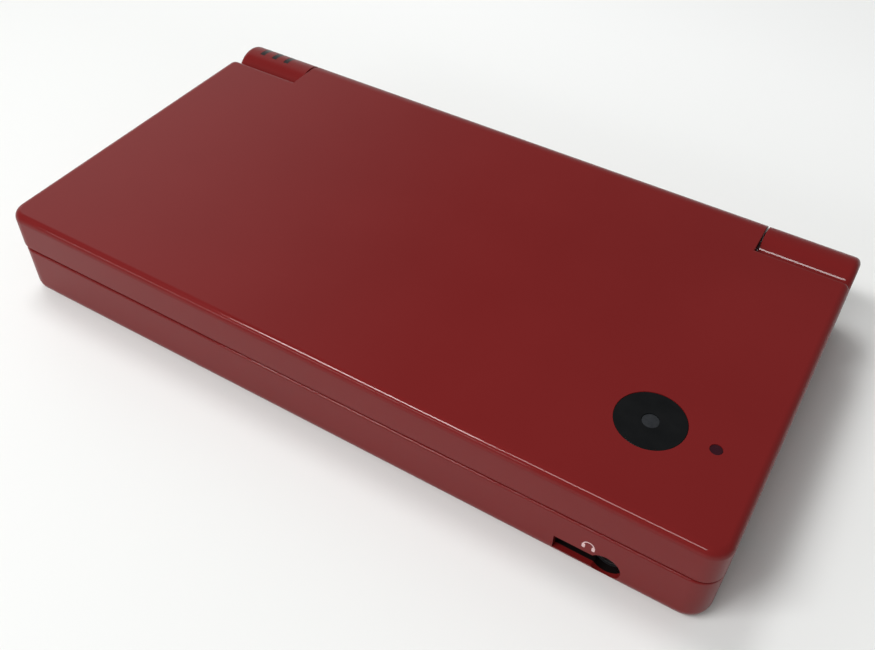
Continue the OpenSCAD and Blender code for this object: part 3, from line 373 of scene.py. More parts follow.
@dataclass(frozen=True)
class Finish:
    """One finish: colours, gloss, grain and wear, all from nodes on the object's own coordinates."""

    name: str
    colour: Colour
    second: Colour
    roughness: Pair = (0.2, 0.3)
    metallic: float = 0.0
    coat: float = 0.0
    coat_roughness: float = 0.05
    coat_ior: float = 1.5
    ior: float = 1.5
    specular: float = 0.5
    gleam: Colour = (1.0, 1.0, 1.0)
    patch: float = 12.0
    grain: float = 0.25
    grain_height: float = 0.0
    scratch: float = 0.0

    def material(self) -> bpy.types.Material:
        """Makes the material on its first call.

        Returns:
            The material.
        """
        name = f"{self.name}_finish"
        made = bpy.data.materials.get(name)
        if made:
            return made
        made = bpy.data.materials.new(name)
        made.use_nodes = True
        tree = made.node_tree
        shader = tree.nodes["Principled BSDF"]
        shader.inputs["Metallic"].default_value = self.metallic
        shader.inputs["IOR"].default_value = self.ior
        shader.inputs["Specular IOR Level"].default_value = self.specular
        shader.inputs["Specular Tint"].default_value = (*self.gleam, 1)
        shader.inputs["Coat Weight"].default_value = self.coat
        shader.inputs["Coat Roughness"].default_value = self.coat_roughness
        shader.inputs["Coat IOR"].default_value = self.coat_ior
        place = tree.nodes.new("ShaderNodeTexCoord")
        self.tint(tree, place, shader)
        self.gloss(tree, place, shader)
        if self.grain_height:
            self.relief(tree, place, shader)
        return made

    def noise(self, tree: bpy.types.NodeTree, place: bpy.types.Node, size: float,
              detail: float = 4.0, stretch: Colour = (1, 1, 1)) -> bpy.types.Node:
        """Adds a noise on the object's coordinates.

        Args:
            tree: The material's nodes.
            place: The coordinate node.
            size: The size of its patches in millimetres.
            detail: Its detail.
            stretch: How much finer it is along each axis.

        Returns:
            The noise node.
        """
        turn = tree.nodes.new("ShaderNodeMapping")
        turn.inputs["Scale"].default_value = stretch
        speck = tree.nodes.new("ShaderNodeTexNoise")
        speck.inputs["Scale"].default_value = 1 / (size * MM)
        speck.inputs["Detail"].default_value = detail
        tree.links.new(place.outputs["Object"], turn.inputs["Vector"])
        tree.links.new(turn.outputs["Vector"], speck.inputs["Vector"])
        return speck

    def tint(self, tree: bpy.types.NodeTree, place: bpy.types.Node, shader: bpy.types.Node) -> None:
        """Varies the colour between the two colours of the finish.

        Args:
            tree: The material's nodes.
            place: The coordinate node.
            shader: The shader.
        """
        speck = self.noise(tree, place, self.patch)
        spread = tree.nodes.new("ShaderNodeMapRange")
        spread.inputs["From Min"].default_value = 0.3
        spread.inputs["From Max"].default_value = 0.7
        mix = tree.nodes.new("ShaderNodeMix")
        mix.data_type = "RGBA"
        mix.inputs["A"].default_value = (*self.colour, 1)
        mix.inputs["B"].default_value = (*self.second, 1)
        tree.links.new(speck.outputs["Fac"], spread.inputs["Value"])
        tree.links.new(spread.outputs["Result"], mix.inputs["Factor"])
        tree.links.new(mix.outputs["Result"], shader.inputs["Base Color"])

    def gloss(self, tree: bpy.types.NodeTree, place: bpy.types.Node, shader: bpy.types.Node) -> None:
        """Varies the roughness, with faint handling marks where the finish has them.

        Args:
            tree: The material's nodes.
            place: The coordinate node.
            shader: The shader.
        """
        speck = self.noise(tree, place, self.patch / 2, 6.0)
        spread = tree.nodes.new("ShaderNodeMapRange")
        spread.inputs["From Min"].default_value = 0.3
        spread.inputs["From Max"].default_value = 0.7
        spread.inputs["To Min"].default_value = self.roughness[0]
        spread.inputs["To Max"].default_value = self.roughness[1]
        tree.links.new(speck.outputs["Fac"], spread.inputs["Value"])
        result = spread.outputs["Result"]
        if self.scratch:
            hair = self.noise(tree, place, 1.5, 2.0, (0.05, 1.0, 1.0))
            thin = tree.nodes.new("ShaderNodeMapRange")
            thin.inputs["From Min"].default_value = 0.68
            thin.inputs["From Max"].default_value = 0.74
            thin.inputs["To Max"].default_value = self.scratch
            add = tree.nodes.new("ShaderNodeMath")
            tree.links.new(hair.outputs["Fac"], thin.inputs["Value"])
            tree.links.new(result, add.inputs[0])
            tree.links.new(thin.outputs["Result"], add.inputs[1])
            result = add.outputs["Value"]
        tree.links.new(result, shader.inputs["Roughness"])

    def relief(self, tree: bpy.types.NodeTree, place: bpy.types.Node, shader: bpy.types.Node) -> None:
        """Adds the fine moulded grain.

        Args:
            tree: The material's nodes.
            place: The coordinate node.
            shader: The shader.
        """
        speck = self.noise(tree, place, self.grain, 2.0)
        bump = tree.nodes.new("ShaderNodeBump")
        bump.inputs["Strength"].default_value = 0.5
        bump.inputs["Distance"].default_value = self.grain_height * MM
        tree.links.new(speck.outputs["Fac"], bump.inputs["Height"])
        tree.links.new(bump.outputs["Normal"], shader.inputs["Normal"])


RED_GLOSS = Finish("red_gloss", (0.150, 0.0085, 0.0085), (0.162, 0.0100, 0.0100), roughness=(0.30, 0.38),
                   specular=0.06, gleam=(1.0, 0.25, 0.25), coat=0.17, coat_roughness=0.03, coat_ior=2.0,
                   patch=30, grain=0.5, grain_height=0.0006, scratch=0.02)
RED_SATIN = Finish("red_satin", (0.120, 0.010, 0.011), (0.135, 0.012, 0.013), roughness=(0.42, 0.52),
                   patch=18, grain=0.22, grain_height=0.012)
SCREEN_GLASS = Finish("screen_glass", (0.012, 0.013, 0.015), (0.016, 0.017, 0.019), roughness=(0.04, 0.09),
                      coat=1.0, coat_roughness=0.02, patch=25, scratch=0.03)
DISPLAY_BLACK = Finish("display_black", (0.010, 0.010, 0.011), (0.016, 0.016, 0.018), roughness=(0.3, 0.4))
CIRCUIT_BOARD = Finish("circuit_board", (0.012, 0.075, 0.035), (0.02, 0.11, 0.05), roughness=(0.3, 0.5),
                       patch=3, grain=0.6, grain_height=0.02)
BATTERY_GREY = Finish("battery_grey", (0.16, 0.165, 0.17), (0.2, 0.2, 0.2), roughness=(0.4, 0.55), patch=8)
SCREW_STEEL = Finish("screw_steel", (0.42, 0.42, 0.43), (0.55, 0.55, 0.56), roughness=(0.25, 0.4),
                     metallic=1.0, patch=0.8, grain=0.1, grain_height=0.004)
COPPER_CONTACT = Finish("copper_contact", (0.62, 0.36, 0.14), (0.72, 0.44, 0.2), roughness=(0.25, 0.4),
                        metallic=1.0, patch=1.5)
SHEET_STEEL = Finish("sheet_steel", (0.5, 0.5, 0.51), (0.62, 0.62, 0.63), roughness=(0.28, 0.42),
                     metallic=1.0, patch=4, grain=0.3, grain_height=0.003)
BLACK_PLASTIC = Finish("black_plastic", (0.012, 0.012, 0.013), (0.018, 0.018, 0.019), roughness=(0.35, 0.5),
                       patch=4, grain=0.15, grain_height=0.008)
PAD_RUBBER = Finish("pad_rubber", (0.11, 0.11, 0.115), (0.15, 0.15, 0.15), roughness=(0.6, 0.75),
                    patch=3, grain=0.12, grain_height=0.01)
HINGE_STEEL = Finish("hinge_steel", (0.3, 0.3, 0.31), (0.38, 0.38, 0.39), roughness=(0.3, 0.45),
                     metallic=1.0, patch=2)
SMOKED_LENS = Finish("smoked_lens", (0.004, 0.003, 0.004), (0.007, 0.005, 0.006), roughness=(0.3, 0.4),
                     specular=0.15, coat=0.1, coat_roughness=0.05, patch=3)
CONTROL_PLASTIC = Finish("control_plastic", (0.010, 0.010, 0.011), (0.015, 0.015, 0.016),
                         roughness=(0.12, 0.2), coat=0.6, coat_roughness=0.06, patch=5, scratch=0.05)
STYLUS_PLASTIC = Finish("stylus_plastic", (0.014, 0.014, 0.015), (0.02, 0.02, 0.021),
                        roughness=(0.25, 0.35), patch=4)
CAMERA_BLACK = Finish("camera_black", (0.0045, 0.005, 0.0055), (0.007, 0.0075, 0.008),
                      roughness=(0.15, 0.22), specular=0.08, coat=0.05, coat_roughness=0.03, patch=3)
LENS_GLASS = Finish("lens_glass", (0.019, 0.021, 0.024), (0.026, 0.028, 0.031), roughness=(0.25, 0.35),
                    specular=0.15, coat=0.05, coat_roughness=0.05, patch=0.7)
LIGHT_PLUM = Finish("light_plum", (0.024, 0.004, 0.008), (0.030, 0.005, 0.010), roughness=(0.2, 0.3),
                    specular=0.15, coat=0.05, coat_roughness=0.05, patch=0.7)
SPEAKER_GREY = Finish("speaker_grey", (0.03, 0.03, 0.032), (0.045, 0.045, 0.048), roughness=(0.5, 0.65),
                      patch=1.5)
# painted shade: near-black for the sheet that stands in for the shade inside the headphone recess
RECESS_SHADE = Finish("recess_shade", (0.004, 0.0025, 0.0025), (0.006, 0.003, 0.003), roughness=(0.5, 0.6),
                      specular=0.1, patch=2)
MARK_WHITE = Finish("mark_white", (0.62, 0.42, 0.42), (0.70, 0.50, 0.50), roughness=(0.35, 0.45), patch=1.0)

NODE_FINISH: dict[str, Finish] = {
    "control_deck": RED_SATIN, "lid_bezel": RED_SATIN, "touch_panel": SCREEN_GLASS,
    "upper_glass": SCREEN_GLASS, "lower_display": DISPLAY_BLACK, "upper_display": DISPLAY_BLACK,
    "main_board": CIRCUIT_BOARD, "wireless_board": CIRCUIT_BOARD, "indicator_board": CIRCUIT_BOARD,
    "battery": BATTERY_GREY, "battery_cover_screws": SCREW_STEEL, "case_screws": SCREW_STEEL,
    "lid_screws": SCREW_STEEL, "battery_contacts": COPPER_CONTACT, "screen_ribbon": COPPER_CONTACT,
    "game_card_socket": SHEET_STEEL, "card_ejector": BLACK_PLASTIC, "memory_card_socket": SHEET_STEEL,
    "charge_socket": SHEET_STEEL, "microphone": SHEET_STEEL, "strap_bar": HINGE_STEEL,
    "dpad_ball": HINGE_STEEL, "lid_magnet": HINGE_STEEL, "headphone_jack": BLACK_PLASTIC,
    "volume_switch": BLACK_PLASTIC, "shoulder_switches": BLACK_PLASTIC, "barrel_bushes": BLACK_PLASTIC,
    "camera_module": BLACK_PLASTIC, "inner_camera_module": BLACK_PLASTIC, "inner_camera_lens": LENS_GLASS,
    "face_button_pad": PAD_RUBBER, "dpad_pad": PAD_RUBBER, "small_button_pads": PAD_RUBBER,
    "lid_bumpers": PAD_RUBBER, "hinge_unit": HINGE_STEEL, "hinge_bush": HINGE_STEEL,
    "indicator_lenses": SMOKED_LENS, "speaker_left": SPEAKER_GREY, "speaker_right": SPEAKER_GREY,
    "dpad": CONTROL_PLASTIC, "face_button_right": CONTROL_PLASTIC, "face_button_front": CONTROL_PLASTIC,
    "face_button_back": CONTROL_PLASTIC, "face_button_left": CONTROL_PLASTIC,
    "start_button": CONTROL_PLASTIC, "select_button": CONTROL_PLASTIC, "power_button": CONTROL_PLASTIC,
    "volume_rocker": RED_GLOSS, "shoulder_button_left": RED_GLOSS, "shoulder_button_right": RED_GLOSS,
    "stylus": STYLUS_PLASTIC, "memory_card_door": RED_GLOSS, "battery_cover": RED_GLOSS,
    "camera_window": CAMERA_BLACK, "camera_lens": LENS_GLASS, "camera_light": LIGHT_PLUM,
    "lower_case": RED_GLOSS, "lid_cover": RED_GLOSS,
}


@dataclass
class SubAssembly:
    """A group of pieces that is built and dressed together."""

    made: list[bpy.types.Object] = field(default_factory=list)

    def finish_piece(self, piece: bpy.types.Object, finish: Finish, body: str, slot: str,
                     *nodes: str, angle: float = 32.0) -> bpy.types.Object:
        """Cleans a piece, smooths it, dresses it and fixes it to its body.

        Args:
            piece: The piece.
            finish: Its finish.
            body: The body that it rides on.
            slot: Not used.
            *nodes: The nodes of the frame that it stands for.
            angle: Edges sharper than this stay sharp.

        Returns:
            The piece.
        """
        Bench.clean(piece)
        Bench.smooth(piece, angle)
        piece.data.materials.clear()
        piece.data.materials.append(finish.material())
        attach(piece, body)
        if nodes:
            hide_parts(*nodes)
        self.made.append(piece)
        LOG.info("%s: %d faces, rides on %s", piece.name, len(piece.data.polygons), body)
        return piece


@dataclass
class LidShell(SubAssembly):
    """The outer shell of the lid with the centre barrel of the hinge."""

    half_w: float = 68.5
    front: float = -37.45
    rear: float = 27.0
    bottom: float = 11.6
    top: float = 18.9
    corner_front: float = 3.5
    corner_rear: float = 1.6
    top_edge: float = 1.5
    rim_edge: float = 0.22
    wall: float = 1.2
    barrel_half: float = 51.2
    barrel_r: float = 5.1
    bore_r: float = 3.9
    axis: Spot = (32.35, 13.8)
    barrel_edge: float = 0.15
    window: Spot = (50.25, -20.25)
    window_r: float = 5.65
    window_under: float = 18.05
    light: Spot = (60.5, -20.25)
    light_r: float = 1.0
    columns: tuple[Spot, ...] = ((-63.3, -32.25), (63.3, -32.25), (-63.3, 22.5), (63.3, 22.5))
    column_r: float = 2.2
    ribbon: Pair = (-41.0, -29.0)

    def plate(self) -> bpy.types.Object:
        """Makes the flat part of the lid with its rounded corners and edges.

        Returns:
            The plate.
        """
        plate = Bench.block("lid_shell", (-self.half_w, self.half_w), (self.front, self.rear),
                            (self.bottom, self.top))
        upright = along(Axis.Z)
        Bench.soften(plate, lambda e: upright(e) and middle(e).y < 0, self.corner_front, 12)
        Bench.soften(plate, lambda e: upright(e) and middle(e).y > self.rear - 0.1, self.corner_rear, 8)
        Bench.soften(plate, level(Axis.Z, self.top), self.top_edge, 10)
        Bench.soften(plate, level(Axis.Z, self.bottom), self.rim_edge, 3)
        return plate

    def barrel(self) -> bpy.types.Object:
        """Makes the hinge barrel and the neck that joins it to the plate.

        Returns:
            The barrel.
        """
        ends = (-self.barrel_half, self.barrel_half)
        barrel = Bench.rod("barrel", Axis.X, self.barrel_r, ends, self.axis, 96)
        neck = Bench.block("neck", ends, (self.rear - self.wall - self.corner_rear, self.axis[0]),
                           (self.bottom, self.top))
        Bench.combine(barrel, Join.ADD, neck)
        Bench.clean(barrel)
        for end in ends:
            face = level(Axis.X, end)
            Bench.soften(barrel, lambda e: face(e) and sharp(e), self.barrel_edge, 4)
        return barrel

    def build(self) -> None:
        """Builds the lid's shell."""
        shell = self.plate()
        Bench.combine(shell, Join.ADD, self.barrel())
        inner = Bench.block("inner", (-self.half_w + self.wall, self.half_w - self.wall),
                            (self.front + self.wall, self.rear - self.wall),
                            (self.bottom - 1, self.top - self.wall))
        upright = along(Axis.Z)
        Bench.soften(inner, upright, self.corner_front - self.wall, 8)
        Bench.combine(shell, Join.CUT, inner)
        for i, spot in enumerate(self.columns):
            column = Bench.rod(f"column_{i}", Axis.Z, self.column_r, (12.8, self.top - self.wall + 0.4), spot, 24)
            hole = Bench.rod(f"hole_{i}", Axis.Z, 0.8, (11.0, 17.4), spot, 16)
            Bench.combine(column, Join.CUT, hole)
            Bench.combine(shell, Join.ADD, column)
        seat = Bench.rod("seat", Axis.Z, self.window_r, (self.window_under, self.top + 1), self.window, 96)
        neck = Bench.rod("neck", Axis.Z, self.window_r - 2.05, (17.0, self.top), self.window, 64)
        spark = Bench.rod("spark", Axis.Z, self.light_r, (17.0, self.top + 1), self.light, 40)
        bore = Bench.rod("bore", Axis.X, self.bore_r, (-self.half_w, self.half_w), self.axis, 64)
        slit = Bench.block("slit", self.ribbon, (self.rear - 2.8, self.axis[0]), (12.6, 15.0))
        Bench.combine(shell, Join.CUT, seat, neck, spark, bore, slit)
        Bench.clean(shell)
        near = (self.window_r + 0.2) ** 2
        tiny = (self.light_r + 0.2) ** 2

        def mouth(e: object) -> bool:
            """Says whether an edge is the mouth of a seat in the lid's top."""
            spot = middle(e)
            if abs(spot.z - self.top) > 0.05 or not sharp(e):
                return False
            return any((spot.x - c[0]) ** 2 + (spot.y - c[1]) ** 2 < r
                       for c, r in ((self.window, near), (self.light, tiny)))

        Bench.soften(shell, mouth, 0.06, 2)
        self.finish_piece(shell, RED_GLOSS, "lid", "red_gloss", "lid_cover")


@dataclass
class CaseShell(SubAssembly):
    """The outer shell of the base with both end knuckles of the hinge."""

    half_w: float = 68.5
    half_d: float = 37.45
    print_rise: float = 0.01
    top: float = 11.1
    corner: float = 4.0
    bottom_edge: float = 3.0
    rim_edge: float = 0.35
    wall: float = 1.4
    floor: float = 1.2
    axis: Spot = (32.35, 13.8)
    knuckle: Pair = (51.5, 68.5)
    knuckle_r: float = 5.1
    knuckle_end: float = 1.3
    knuckle_edge: float = 0.15
    bore_r: float = 3.2
    trough_r: float = 5.4
    open_tilt: float = 25.0
    crest: float = 18.9
    jack: Spot = (52.7, 3.9)
    jack_r: float = 2.55
    strips: tuple[float, ...] = (-64.1, -60.9, -57.7)
    strip_w: float = 1.2
    strip_front: float = 31.55
    screws: tuple[Spot, ...] = ((-62.0, -30.95), (62.0, -30.95), (-62.0, 24.45), (45.0, 29.85))
    cover_screws: tuple[Spot, ...] = ((-56.4, 5.1), (-7.6, 5.1))

    def tray(self, name: str, grow: float, bottom: float, top: float, edge: float,
             rim: float) -> bpy.types.Object:
        """Makes a block with the case's outline, rounded corners and a rounded bottom edge.

        Args:
            name: Its name.
            grow: How far it stands outside the case.
            bottom: Its underside.
            top: Its top.
            edge: The radius of its bottom edge, or 0.
            rim: The radius of its top edge, or 0.

        Returns:
            The block.
        """
        made = Bench.block(name, (-self.half_w - grow, self.half_w + grow),
                           (-self.half_d - grow, self.half_d + grow), (bottom, top))
        Bench.soften(made, along(Axis.Z), self.corner + grow, 12)
        if edge:
            Bench.soften(made, level(Axis.Z, bottom), edge, 12)
        if rim:
            Bench.soften(made, level(Axis.Z, top), rim, 3)
        return made

    def knuckle_piece(self, side: int) -> bpy.types.Object:
        """Makes one end knuckle.

        Args:
            side: 1 for the right knuckle and -1 for the left one.

        Returns:
            The knuckle.
        """
        inner, outer = self.knuckle
        span = tuple(sorted((side * inner, side * outer)))
        barrel = Bench.rod("knuckle", Axis.X, self.knuckle_r, span, self.axis, 96)
        Bench.soften(barrel, level(Axis.X, side * outer), self.knuckle_end, 8)
        Bench.soften(barrel, level(Axis.X, side * inner), self.knuckle_edge, 3)
        foot = Bench.block("foot", span, (self.axis[0] - self.knuckle_r, self.half_d), (8.4, self.axis[1]))
        face = level(Axis.X, side * inner)
        Bench.soften(foot, lambda e: face(e) and along(Axis.Z)(e), self.knuckle_edge, 3)
        Bench.combine(barrel, Join.ADD, foot)
        return Bench.combine(barrel, Join.KEEP, self.tray("outline", 0, -1, self.crest + 1, 0, 0))

    def add_inner_forms(self, shell: bpy.types.Object) -> None:
        """Adds the blocks and walls that stand inside the shell.

        Args:
            shell: The shell.
        """
        Bench.combine(
            shell, Join.ADD,
            Bench.block("jack_block", (43.0, 56.45), (-36.2, -34.05), (0.65, 7.45)),
            Bench.block("strap_block", (-46.0, -38.0), (32.25, 36.75), (2.3, 7.05)),
            Bench.block("channel_front", (-25.5, 67.2), (-22.35, -21.35), (0.65, 5.25)),
            Bench.block("channel_rear", (-25.5, 67.2), (-16.65, -15.65), (0.65, 5.25)))
        bay = Bench.block("bay", (-55.2, -8.8), (-14.5, 24.7), (0.6, 5.5))
        Bench.combine(bay, Join.CUT, Bench.block("bay_inside", (-54.2, -9.8), (-13.5, 23.7), (0.0, 6.0)))
        Bench.combine(shell, Join.ADD, bay)
        for i, (x, y) in enumerate(self.cover_screws):
            Bench.combine(shell, Join.ADD, Bench.rod(f"post_{i}", Axis.Z, 1.9, (0.6, 5.5), (x, y), 24))
        for side in (-1, 1):
            Bench.combine(shell, Join.ADD,
                          Bench.rod("pivot", Axis.Z, 0.7, (0.6, 8.8), (side * 54.7, 34.45), 24))

    def cut_ports(self, shell: bpy.types.Object) -> None:
        """Cuts the openings in the sides.

        Args:
            shell: The shell.
        """
        x, z = self.jack
        front = -self.half_d
        recess = Bench.rod("recess", Axis.Y, self.jack_r, (front - 1, front + 2.4), (x, z), 64)
        Bench.combine(recess, Join.ADD, Bench.block("slot", (44.2, x), (front - 1, front + 2.4), (2.3, 5.35)))
        collar = Bench.rod("collar", Axis.Y, 2.5, (front, -33.6), (x, z), 48)
        card = Bench.block("card", (-4.0, 30.0), (34.05, 38.5), (1.3, 5.5))
        charge = Bench.block("charge", (-26.5, -17.5), (34.05, 38.5), (1.8, 5.2))
        Bench.soften(charge, along(Axis.Y), 0.5, 3)
        strap = Bench.block("strap", (-45.0, -39.0), (33.25, 38.5), (3.3, 6.05))
        stylus = Bench.rod("stylus_mouth", Axis.X, 2.35, (65.7, 69.5), (-19.0, 3.47), 48)
        door = Bench.block("door", (65.7, 69.5), (2.5, 26.6), (2.05, 6.35))
        pins = Bench.rod("pins", Axis.Y, 0.45, (1.6, 27.5), (67.7, 2.8), 24)
        rocker = Bench.block("rocker", (-69.5, -65.7), (-5.7, 10.8), (3.25, 6.95))
        Bench.soften(rocker, along(Axis.X), 0.5, 3)
        Bench.combine(shell, Join.CUT, recess, collar, card, charge, strap, stylus, door, pins, rocker)

    def cut_underside(self, shell: bpy.types.Object) -> None:
        """Cuts the battery opening and the screw seats.

        Args:
            shell: The shell.
        """
        cover = Bench.block("cover", (-58.5, -5.5), (-15.6, 25.8), (-1, 0.6))
        Bench.soften(cover, along(Axis.Z), 1.1, 5)
        hole = Bench.block("hole", (-54.2, -9.8), (-13.5, 23.7), (-1, 2.4))
        Bench.combine(shell, Join.CUT, cover, hole)
        for i, (x, y) in enumerate(self.screws):
            head = Bench.rod(f"head_{i}", Axis.Z, 1.7, (-1, 0.6), (x, y), 40)
            bore = Bench.rod(f"bore_{i}", Axis.Z, 0.8, (-1, 2.4), (x, y), 24)
            Bench.combine(shell, Join.CUT, head, bore)
        for i, (x, y) in enumerate(self.cover_screws):
            Bench.combine(shell, Join.CUT, Bench.rod(f"bore_{i}", Axis.Z, 0.8, (-1, 4.5), (x, y), 24))

    def build(self) -> None:
        """Builds the case."""
        shell = self.tray("case_shell", 0, 0.0, self.top, self.bottom_edge, self.rim_edge)
        hollow = self.tray("hollow", -self.wall, self.floor, self.top + 2, self.bottom_edge - self.wall, 0)
        Bench.combine(shell, Join.CUT, hollow)
        inner = self.knuckle[0]
        trough = Bench.rod("trough", Axis.X, self.trough_r, (-inner, inner), self.axis, 96)
        swing = self.swing_space(inner)
        Bench.combine(shell, Join.CUT, trough, swing)
        for side in (-1, 1):
            span = tuple(sorted((side * 52.25, side * 70.0)))
            window = Bench.block("shoulder_window", span, (32.24, 38.5), (2.85, 8.35))
            Bench.combine(shell, Join.CUT, window)
        for side in (-1, 1):
            Bench.combine(shell, Join.ADD, self.knuckle_piece(side))
        self.add_inner_forms(shell)
        for side in (-1, 1):
            span = tuple(sorted((side * 51.1, side * 67.1)))
            Bench.combine(shell, Join.CUT, Bench.rod("knuckle_bore", Axis.X, self.bore_r, span, self.axis, 64))
        for i, x in enumerate(self.strips):
            half = self.strip_w / 2
            Bench.combine(shell, Join.CUT, Bench.block(
                f"strip_{i}", (x - half, x + half), (self.strip_front, 38.5), (self.axis[1], self.crest + 1)))
        self.cut_ports(shell)
        self.cut_underside(shell)
        self.set_back_front(shell)
        self.finish_piece(shell, RED_GLOSS, "base", "red_gloss", "lower_case")

    def swing_space(self, inner: float) -> bpy.types.Object:
        """Makes the space behind the barrel that the open lid needs.

        Args:
            inner: Half the trough's length.

        Returns:
            The space.
        """
        y, z = self.axis
        space = Bench.block("swing", (-inner, inner), (y, y + 20.4), (z - self.trough_r, z + 10.2))
        Bench.pick(space, lambda v: True, Pick.VERT)
        bpy.ops.transform.rotate(value=-math.radians(self.open_tilt), orient_axis="X",
                                 center_override=(0, y * MM, z * MM))
        Bench.clear()
        return space

    def set_back_front(self, shell: bpy.types.Object) -> None:
        """Sets the front face back by the thickness of the printed sign.

        Args:
            shell: The shell.
        """
        Bench.pick(shell, lambda v: abs(v.co.y / MM + self.half_d) < 0.005, Pick.VERT)
        bpy.ops.transform.translate(value=(0, self.print_rise * MM, 0))
        Bench.clear()


@dataclass
class HeadphoneSign(SubAssembly):
    """The small printed headphone sign over the headphone socket."""

    x: float = 49.7
    z: float = 7.15
    face: float = -37.44
    rise: float = 0.01
    radius: float = 0.86
    line: float = 0.2
    cup: tuple[float, float] = (0.52, 1.0)

    def build(self) -> None:
        """Builds the band of the headphone and its two ear cups."""
        y = (self.face - self.rise, self.face + 0.02)
        band = Bench.block("headphone_sign", (self.x + self.radius - self.line / 2,
                                              self.x + self.radius + self.line / 2), y,
                           (self.z - 0.35, self.z))
        Bench.pick(band, lambda f: f.normal.z > 0.9, Pick.FACE)
        bpy.ops.mesh.spin(steps=20, dupli=False, angle=math.pi, center=(self.x * MM, 0, self.z * MM),
                          axis=(0, 1, 0))
        bpy.ops.mesh.extrude_region_move(TRANSFORM_OT_translate={"value": (0, 0, -0.35 * MM)})
        Bench.clear()
        wide, tall = self.cup
        for side in (-1, 1):
            middle_x = self.x + side * (self.radius - 0.06)
            cup = Bench.block("cup", (middle_x - wide / 2, middle_x + wide / 2), y,
                              (self.z - 0.35 - tall / 2, self.z - 0.35 + tall / 2))
            Bench.soften(cup, along(Axis.Y), wide / 2.4, 4)
            Bench.combine(band, Join.ADD, cup)
        self.finish_piece(band, MARK_WHITE, "base", "red_gloss")


@dataclass
class HeadphoneRecess(SubAssembly):
    """A near-black sheet inside the recess round the headphone socket, painted shade for the recess's dark
    inside, and the socket's metal ring.
    """

    socket: Spot = (52.7, 3.9)
    radius: float = 2.54
    left: float = 44.22
    height: Pair = (2.32, 5.34)
    depth: Pair = (-36.4, -35.04)
    skin: float = 0.1
    ring: Pair = (1.6, 1.76)
    ring_depth: Pair = (-35.3, -34.2)

    def form(self, name: str, inset: float, depth: Pair) -> bpy.types.Object:
        """Makes a solid with the recess's outline.

        Args:
            name: Its name.
            inset: How far its outline lies inside the recess's.
            depth: Its two ends along Y.

        Returns:
            The solid.
        """
        form = Bench.rod(name, Axis.Y, self.radius - inset, depth, self.socket, 64)
        low, high = self.height
        run = Bench.block("run", (self.left + inset, self.socket[0]), depth, (low + inset, high - inset))
        return Bench.combine(form, Join.ADD, run)

    def build(self) -> None:
        """Builds the sheet of painted shade and the ring."""
        # painted shade: a thin dark sheet lines the recess's back and sides where the shade falls
        shade_sheet = self.form("recess_shade_sheet", 0.0, self.depth)
        Bench.combine(shade_sheet, Join.CUT, self.form("hollow", self.skin, (-38.0, self.depth[1] - self.skin)),
                      Bench.rod("hole", Axis.Y, self.radius - self.skin, (-38, -33), self.socket, 48))
        self.finish_piece(shade_sheet, RECESS_SHADE, "base", "black_plastic")
        inner, outer = self.ring
        ring = Bench.rod("socket_ring", Axis.Y, outer, self.ring_depth, self.socket, 48)
        Bench.combine(ring, Join.CUT, Bench.rod("hole", Axis.Y, inner, (-37, -33), self.socket, 48))
        self.finish_piece(ring, HINGE_STEEL, "base", "hinge_steel")


